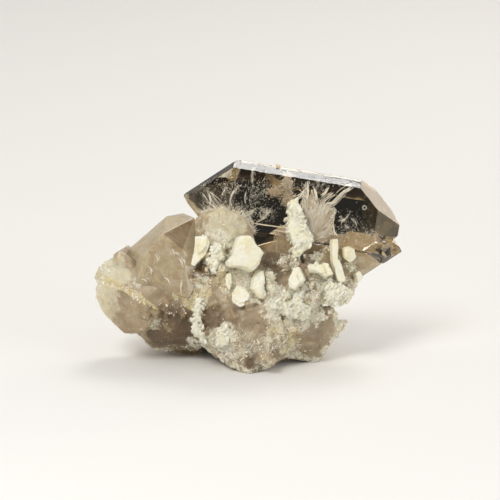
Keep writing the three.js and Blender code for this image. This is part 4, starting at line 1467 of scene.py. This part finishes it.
# What the clear crystal holds: hairs, plumes, a feathery fan, a tan cloud, specks, a bubble
enclosed = {
    # radius, copies and their spread
    "hairsLook": (0.036, 4, 0.12),
    "spikesLook": (0.09, 7, 0.16),
    "hairs": [
        [(-5.3, 23.72), (-4.83, 22.49), (-4.08, 21.55), (-3.42, 20.99)],
        [(-4.64, 23.44), (-4.17, 22.49), (-3.51, 21.74)],
        [(-5.77, 23.06), (-5.02, 21.93), (-4.08, 21.08)],
        [(-3.23, 22.87), (-2.95, 23.34), (-2.72, 23.91)],
        [(-2.01, 21.37), (-2.2, 22.12), (-1.91, 23.06), (-1.35, 23.62), (-1.07, 24.09)],
        [(-0.22, 21.74), (-0.31, 22.49), (-0.13, 23.25)],
        [(0.63, 24.38), (0.66, 25.32), (0.72, 26.0)],
        [(-0.69, 20.9), (-0.03, 20.05), (0.34, 19.2)],
        [(-0.31, 20.8), (0.44, 19.86), (0.81, 19.11)],
        [(-0.03, 20.33), (0.44, 20.71), (0.81, 20.9), (0.63, 20.43), (0.16, 20.2)],
        [(1.66, 20.8), (1.94, 21.08), (2.22, 20.43), (2.69, 20.9), (2.51, 20.05),
         (1.94, 19.67), (1.75, 20.33)],
        [(1.19, 19.3), (1.94, 19.67), (2.51, 20.24), (3.07, 20.8)],
        [(11.91, 20.14), (12.66, 19.39)],
        [(13.13, 20.24), (12.1, 19.2)],
        [(11.82, 19.49), (12.76, 19.67)],
        [(12.47, 19.11), (13.23, 18.55)],
        [(13.4, 19.9), (13.9, 19.5), (14.2, 18.9)],
    ],
    "bars": [
        ([(0.81, 19.2), (2.69, 18.92), (5.33, 18.6)], 0.10),
        ([(3.4, 18.3), (4.6, 18.1), (5.6, 17.9)], 0.12),
        ([(3.1, 17.6), (4.4, 17.4), (5.5, 17.3)], 0.08),
        ([(0.63, 17.19), (2.69, 16.85), (5.7, 16.44)], 0.08),
    ],
    "spikes": [
        [(7.77, 24.6), (7.79, 23.5), (7.81, 22.31)],
        [(7.1, 23.2), (7.4, 22.87), (7.96, 21.74)],
        [(8.3, 23.5), (8.43, 22.96), (8.62, 21.74)],
        [(8.7, 23.6), (8.81, 23.25), (9.09, 22.12)],
        [(9.46, 21.74), (10.22, 22.49), (10.97, 22.96)],
        [(10.6, 21.6), (11.35, 22.31), (12.29, 23.25), (13.38, 23.9)],
        [(10.9, 21.6), (11.7, 22.3), (12.6, 23.2)],
        [(10.22, 21.74), (11.35, 21.93)],
        [(9.46, 21.18), (10.97, 20.99), (11.44, 20.43)],
        [(9.65, 20.05), (10.4, 20.1), (11.16, 19.86)],
        [(9.84, 19.11), (10.88, 18.73)],
        [(11.06, 19.11), (11.16, 18.17), (11.63, 17.61)],
        [(9.6, 22.7), (10.1, 23.1), (10.4, 23.7)],
        [(6.2, 22.4), (6.9, 22.7), (7.4, 23.4)],
    ],
    # foot, rim and how many hairs of each plume
    "plumes": [
        ((8.0, 17.0), [(7.0, 21.2), (7.1, 22.3), (7.77, 22.9), (8.6, 22.6), (9.4, 21.9),
                       (10.3, 21.9), (11.0, 21.2), (11.2, 20.2), (10.9, 19.0), (11.0, 17.6)], 1700),
        ((-3.4, 20.2), [(-6.0, 21.6), (-5.6, 22.8), (-4.6, 23.4)], 22),
    ],
    # centre, reach, how many flakes and how tan, of each cloud
    "clouds": [
        ((3.6, 23.3), (1.1, 0.7), 800, (0.5, 1.0)), ((5.2, 24.3), (0.7, 1.3), 1000, (0.2, 0.8)),
        ((5.3, 22.4), (0.9, 1.1), 1000, (0.3, 0.9)), ((4.6, 17.6), (1.0, 0.9), 700, (0.4, 0.9)),
        ((8.2, 19.2), (0.8, 1.8), 700, (0.0, 0.3)),
    ],
    # centre, reach and how many specks
    "specks": [
        ((-2.6, 23.6), (2.6, 1.1), 1100), ((1.2, 22.9), (1.8, 1.9), 1000),
        ((-1.0, 20.9), (2.4, 0.7), 500), ((2.5, 20.4), (1.4, 1.3), 500),
        ((8.5, 23.9), (3.0, 0.6), 600), ((13.4, 19.4), (1.8, 1.6), 250),
        ((12.8, 17.6), (2.4, 1.2), 600), ((16.2, 17.6), (1.0, 1.0), 300),
    ],
    "rim": [(-6.6, 19.8), (-5.6, 20.6), (-3.1, 21.1), (-0.6, 20.1), (0.7, 18.3), (1.1, 16.8)],
    "plumeGaps": (4.5, -0.12, 0.85),   # how fine, below which noise, and how empty
    "plumeDepth": (-2.35, -1.9),       # of the tips and of the foot
    "plumeRun": (0.12, 0.45),          # how long a hair is, as a share of its ray
    "plumeRadius": (0.018, 0.055),
    "rimHairs": 1300,
    "rimRadius": (0.012, 0.030),
    "rimDepth": (-2.6, -1.75),
    "rimReach": (0.15, 0.90),
    "rimMiddle": (-2.6, 17.2, -2.2),   # they point away from it
    "bubble": ((15.11, 21.22, -1.75), 0.24, 0.035),
    "flakeSize": (0.05, 0.15),
    "flakeDepth": (-2.9, 0.5),         # middle and spread
    "speckSize": (0.03, 0.10),
    "speckDepth": (-3.6, -1.65),
    "speckHairs": 0.25,                # share of the specks that are short hairs
    "depth": (-3.4, -1.75),            # of the drawn hairs
    "barDepth": -1.85,
    "clearOfFaces": 0.1,
    "seed": 21,
}


def alongPath(path, place):
    # the point at a place along a line of corners, counted in corners
    k = min(int(place), len(path) - 2)
    t = place - k
    (u1, v1), (u2, v2) = path[k], path[k + 1]
    return u1 + (u2 - u1) * t, v1 + (v2 - v1) * t


def curveThrough(path, w, bend, rng):
    # a gentle curve through the drawn points, split finely
    steps = range(4 * (len(path) - 1) + 1)
    points = [Vector((*alongPath(path, k / 4), w)) for k in steps]
    phase = rng.uniform(0, 6)
    return [
        p + Vector((rng.gauss(0, bend), rng.gauss(0, bend), 0.2 * math.sin(i * 0.6 + phase)))
        for i, p in enumerate(points)
    ]


def addDrawnHairs(hairs, keep, rng):
    # each drawn line with thinner copies beside it, then the bars
    for kind in ("hairs", "spikes"):
        radius, copies, spread = enclosed[kind + "Look"]
        for path in enclosed[kind]:
            w = rng.uniform(*enclosed["depth"])
            for copy in range(copies + 1):
                du, dv = (rng.gauss(0, spread), rng.gauss(0, spread)) if copy else (0, 0)
                moved = [(u + du, v + dv) for u, v in path]
                line = [p for p in curveThrough(moved, w, 0.02, rng) if keep(p)]
                if len(line) > 2:
                    addStrand(hairs, line, radius if copy == 0 else radius * 0.45, 0.1)
    for path, radius in enclosed["bars"]:
        curve = curveThrough(path, enclosed["barDepth"], 0.01, rng)
        addStrand(hairs, [p for p in curve if keep(p)], radius, 0.6)


def addPlumeHair(hairs, foot, rim, keep, rng):
    along = rng.random() * (len(rim) - 1)
    fineness, below, empty = enclosed["plumeGaps"]
    streak = noise.noise(Vector((along * fineness, foot[0], 7.0)))
    if streak < below and rng.random() < empty:
        return                   # dark gaps between the rays
    u, v = alongPath(rim, along)
    u, v = u + rng.gauss(0, 0.2), v + rng.gauss(0, 0.2)
    tipDepth, footDepth = enclosed["plumeDepth"]
    tip = Vector((u, v, tipDepth + 0.35 * math.sin(along * 1.7) + rng.gauss(0, 0.2)))
    start = Vector((foot[0] + rng.gauss(0, 0.6), foot[1] + rng.gauss(0, 0.9), footDepth))
    sway = Vector((rng.gauss(0, 0.5), rng.gauss(0, 0.3), rng.gauss(0, 0.15)))
    low = rng.uniform(0.0, 0.8)
    high = min(1.0, low + rng.uniform(*enclosed["plumeRun"]))
    shares = [between((low, high), s) for s in (0, 0.33, 0.67, 1)]
    path = [start.lerp(tip, share) + sway * math.sin(share * math.pi) for share in shares]
    if all(keep(p) for p in path):
        tint = min(0.9, max(0.0, 0.38 - 1.7 * streak + rng.gauss(0, 0.12)))
        addStrand(hairs, path, rng.uniform(*enclosed["plumeRadius"]), tint, 3)


def addRimHair(hairs, keep, rng):
    # short hairs that stand out from the milky top's rim
    rim = enclosed["rim"]
    along = rng.random() * (len(rim) - 1)
    place = Vector((*alongPath(rim, along), rng.uniform(*enclosed["rimDepth"])))
    out = (place - Vector(enclosed["rimMiddle"])).normalized()
    out += Vector((rng.gauss(0, 0.6), rng.gauss(0, 0.6), rng.gauss(0, 0.15)))
    reach = between(enclosed["rimReach"], rng.random() ** 3)
    path = [place - out * 0.3, place + out * reach * 0.5, place + out * reach]
    if all(keep(p) for p in path):
        addStrand(hairs, path, rng.uniform(*enclosed["rimRadius"]), rng.uniform(0, 0.3), 3)


def addCloudFlake(specks, middle, reach, tints, keep, rng):
    u, v = (rng.gauss(middle[k], reach[k] * 0.45) for k in range(2))
    place = Vector((u, v, rng.gauss(*enclosed["flakeDepth"])))
    if keep(place):
        facing, size = scatter(rng, 1), rng.uniform(*enclosed["flakeSize"])
        addFlake(specks, place, size, facing, rng, rng.uniform(*tints))


def addSpeck(specks, middle, reach, keep, rng):
    # a flake, or now and then a short hair
    u, v = (rng.gauss(middle[k], reach[k] * 0.6) for k in range(2))
    place = Vector((u, v, rng.uniform(*enclosed["speckDepth"])))
    if not keep(place) or noise.noise(place * 0.8) < rng.uniform(-0.5, 0.3):
        return
    facing = scatter(rng, 1)
    size = between(enclosed["speckSize"], rng.random() ** 3)
    if rng.random() < enclosed["speckHairs"]:
        lean = Vector((rng.gauss(0.5, 0.5), rng.gauss(0.8, 0.4), rng.gauss(0, 0.2)))
        end = place + lean * rng.uniform(0.1, 0.35)
        if keep(end):
            addStrand(specks, [place, (place + end) / 2, end], 0.02, 0.0, 3)
    else:
        addFlake(specks, place, size, facing, rng, rng.uniform(0, 0.2))


def makeEnclosed():
    rng = random.Random(enclosed["seed"])
    keep = insideTest(crystals["clear_crystal"], enclosed["clearOfFaces"])
    hairs, specks = newSoup(), newSoup()
    addDrawnHairs(hairs, keep, rng)
    for foot, rim, count in enclosed["plumes"]:
        for _ in range(count):
            addPlumeHair(hairs, foot, rim, keep, rng)
    for _ in range(enclosed["rimHairs"]):
        addRimHair(hairs, keep, rng)
    addRing(hairs, *enclosed["bubble"])
    placePiece("enclosed_hairs", soupMesh(hairs, "hairs"), inclusion("paleHairs"))
    for middle, reach, count, tints in enclosed["clouds"]:
        for _ in range(count):
            addCloudFlake(specks, middle, reach, tints, keep, rng)
    for middle, reach, count in enclosed["specks"]:
        for _ in range(count):
            addSpeck(specks, middle, reach, keep, rng)
    mesh = soupMesh(specks, "specks")
    placePiece("enclosed_specks", mesh, inclusion("paleSpecks"))


# Small marks on the surfaces: healed cracks in the left crystal and two dark slits
marks = {
    "cracks": [
        [(-9.5, 15.4), (-9.0, 15.3), (-8.6, 14.9)],
        [(-8.75, 14.8), (-8.35, 14.3), (-8.15, 13.5)],
        [(-8.5, 14.9), (-8.1, 14.4), (-8.0, 13.9)],
        [(-8.3, 11.9), (-8.5, 10.9), (-8.45, 9.9)],
        [(-12.6, 13.6), (-12.2, 13.2), (-12.3, 12.6)],
        [(-10.9, 12.4), (-10.2, 12.0), (-9.9, 11.3)],
        [(-9.9, 15.9), (-9.5, 15.6), (-9.3, 15.0)],
        [(-11.8, 15.2), (-11.4, 14.6), (-11.5, 14.1)],
        [(-7.4, 13.1), (-7.1, 12.3), (-7.2, 11.6)],
        [(-13.6, 12.1), (-13.0, 11.9), (-12.6, 11.3)],
    ],
    "crackRadius": 0.07,
    "crackCopies": 3,
    "crackSpread": 0.09,
    "slits": [[(1.2, 6.5), (1.7, 6.3)], [(2.1, 6.2), (2.9, 5.8)]],
    "slitRadius": 0.06,
    "slitLift": -0.01,
    "seed": 8,
}


def makeMarks(leftFront, rightFront):
    cracks, slits = newSoup(), newSoup()
    rng = random.Random(marks["seed"])
    for path in marks["cracks"]:
        for copy in range(marks["crackCopies"]):
            shift = [rng.gauss(0, marks["crackSpread"]) * copy for _ in range(2)]
            line = [leftFront(u + shift[0], v + shift[1]) for u, v in path]
            if None not in line:
                addStrand(cracks, line, marks["crackRadius"] * (1.0 if copy == 0 else 0.5), 0.1)
    for path in marks["slits"]:
        line = [rightFront(*alongPath(path, k / 3), marks["slitLift"]) for k in range(4)]
        if None not in line:
            addStrand(slits, line, marks["slitRadius"], 0.0)
    placePiece("healed_cracks", soupMesh(cracks, "cracks"), inclusion("crackWhite"))
    placePiece("dark_slits", soupMesh(slits, "slits"), inclusion("slitBrown"))


makeCamera()
makeStudio()
smokyFinish = smokyQuartz()
makeCrystals({"clear_quartz": clearQuartz(), "smoky_quartz": smokyFinish})
leftFront = makeLeftCrystal(smokyFinish)
print("crystals done")
massFinish, crustFinish = matrixQuartz(), crustCrystals()
for number, (massName, shape) in enumerate(masses.items()):
    skin, masks = makeMass(massName, shape, 10 * number, massFinish)
    makeCrust(massName, skin, masks, crustFinish)
    skinFront = frontOf(skin)
    bpy.data.meshes.remove(skin)
print("mass and crust done")
bariteFinish = whiteBarite()
for number, (nodeName, shape) in enumerate(barites.items()):
    makeBarite(nodeName, shape, 40 + number, bariteFinish)
print("barite done")
makeEnclosed()
makeMarks(leftFront, skinFront)
print("enclosed things and marks done")
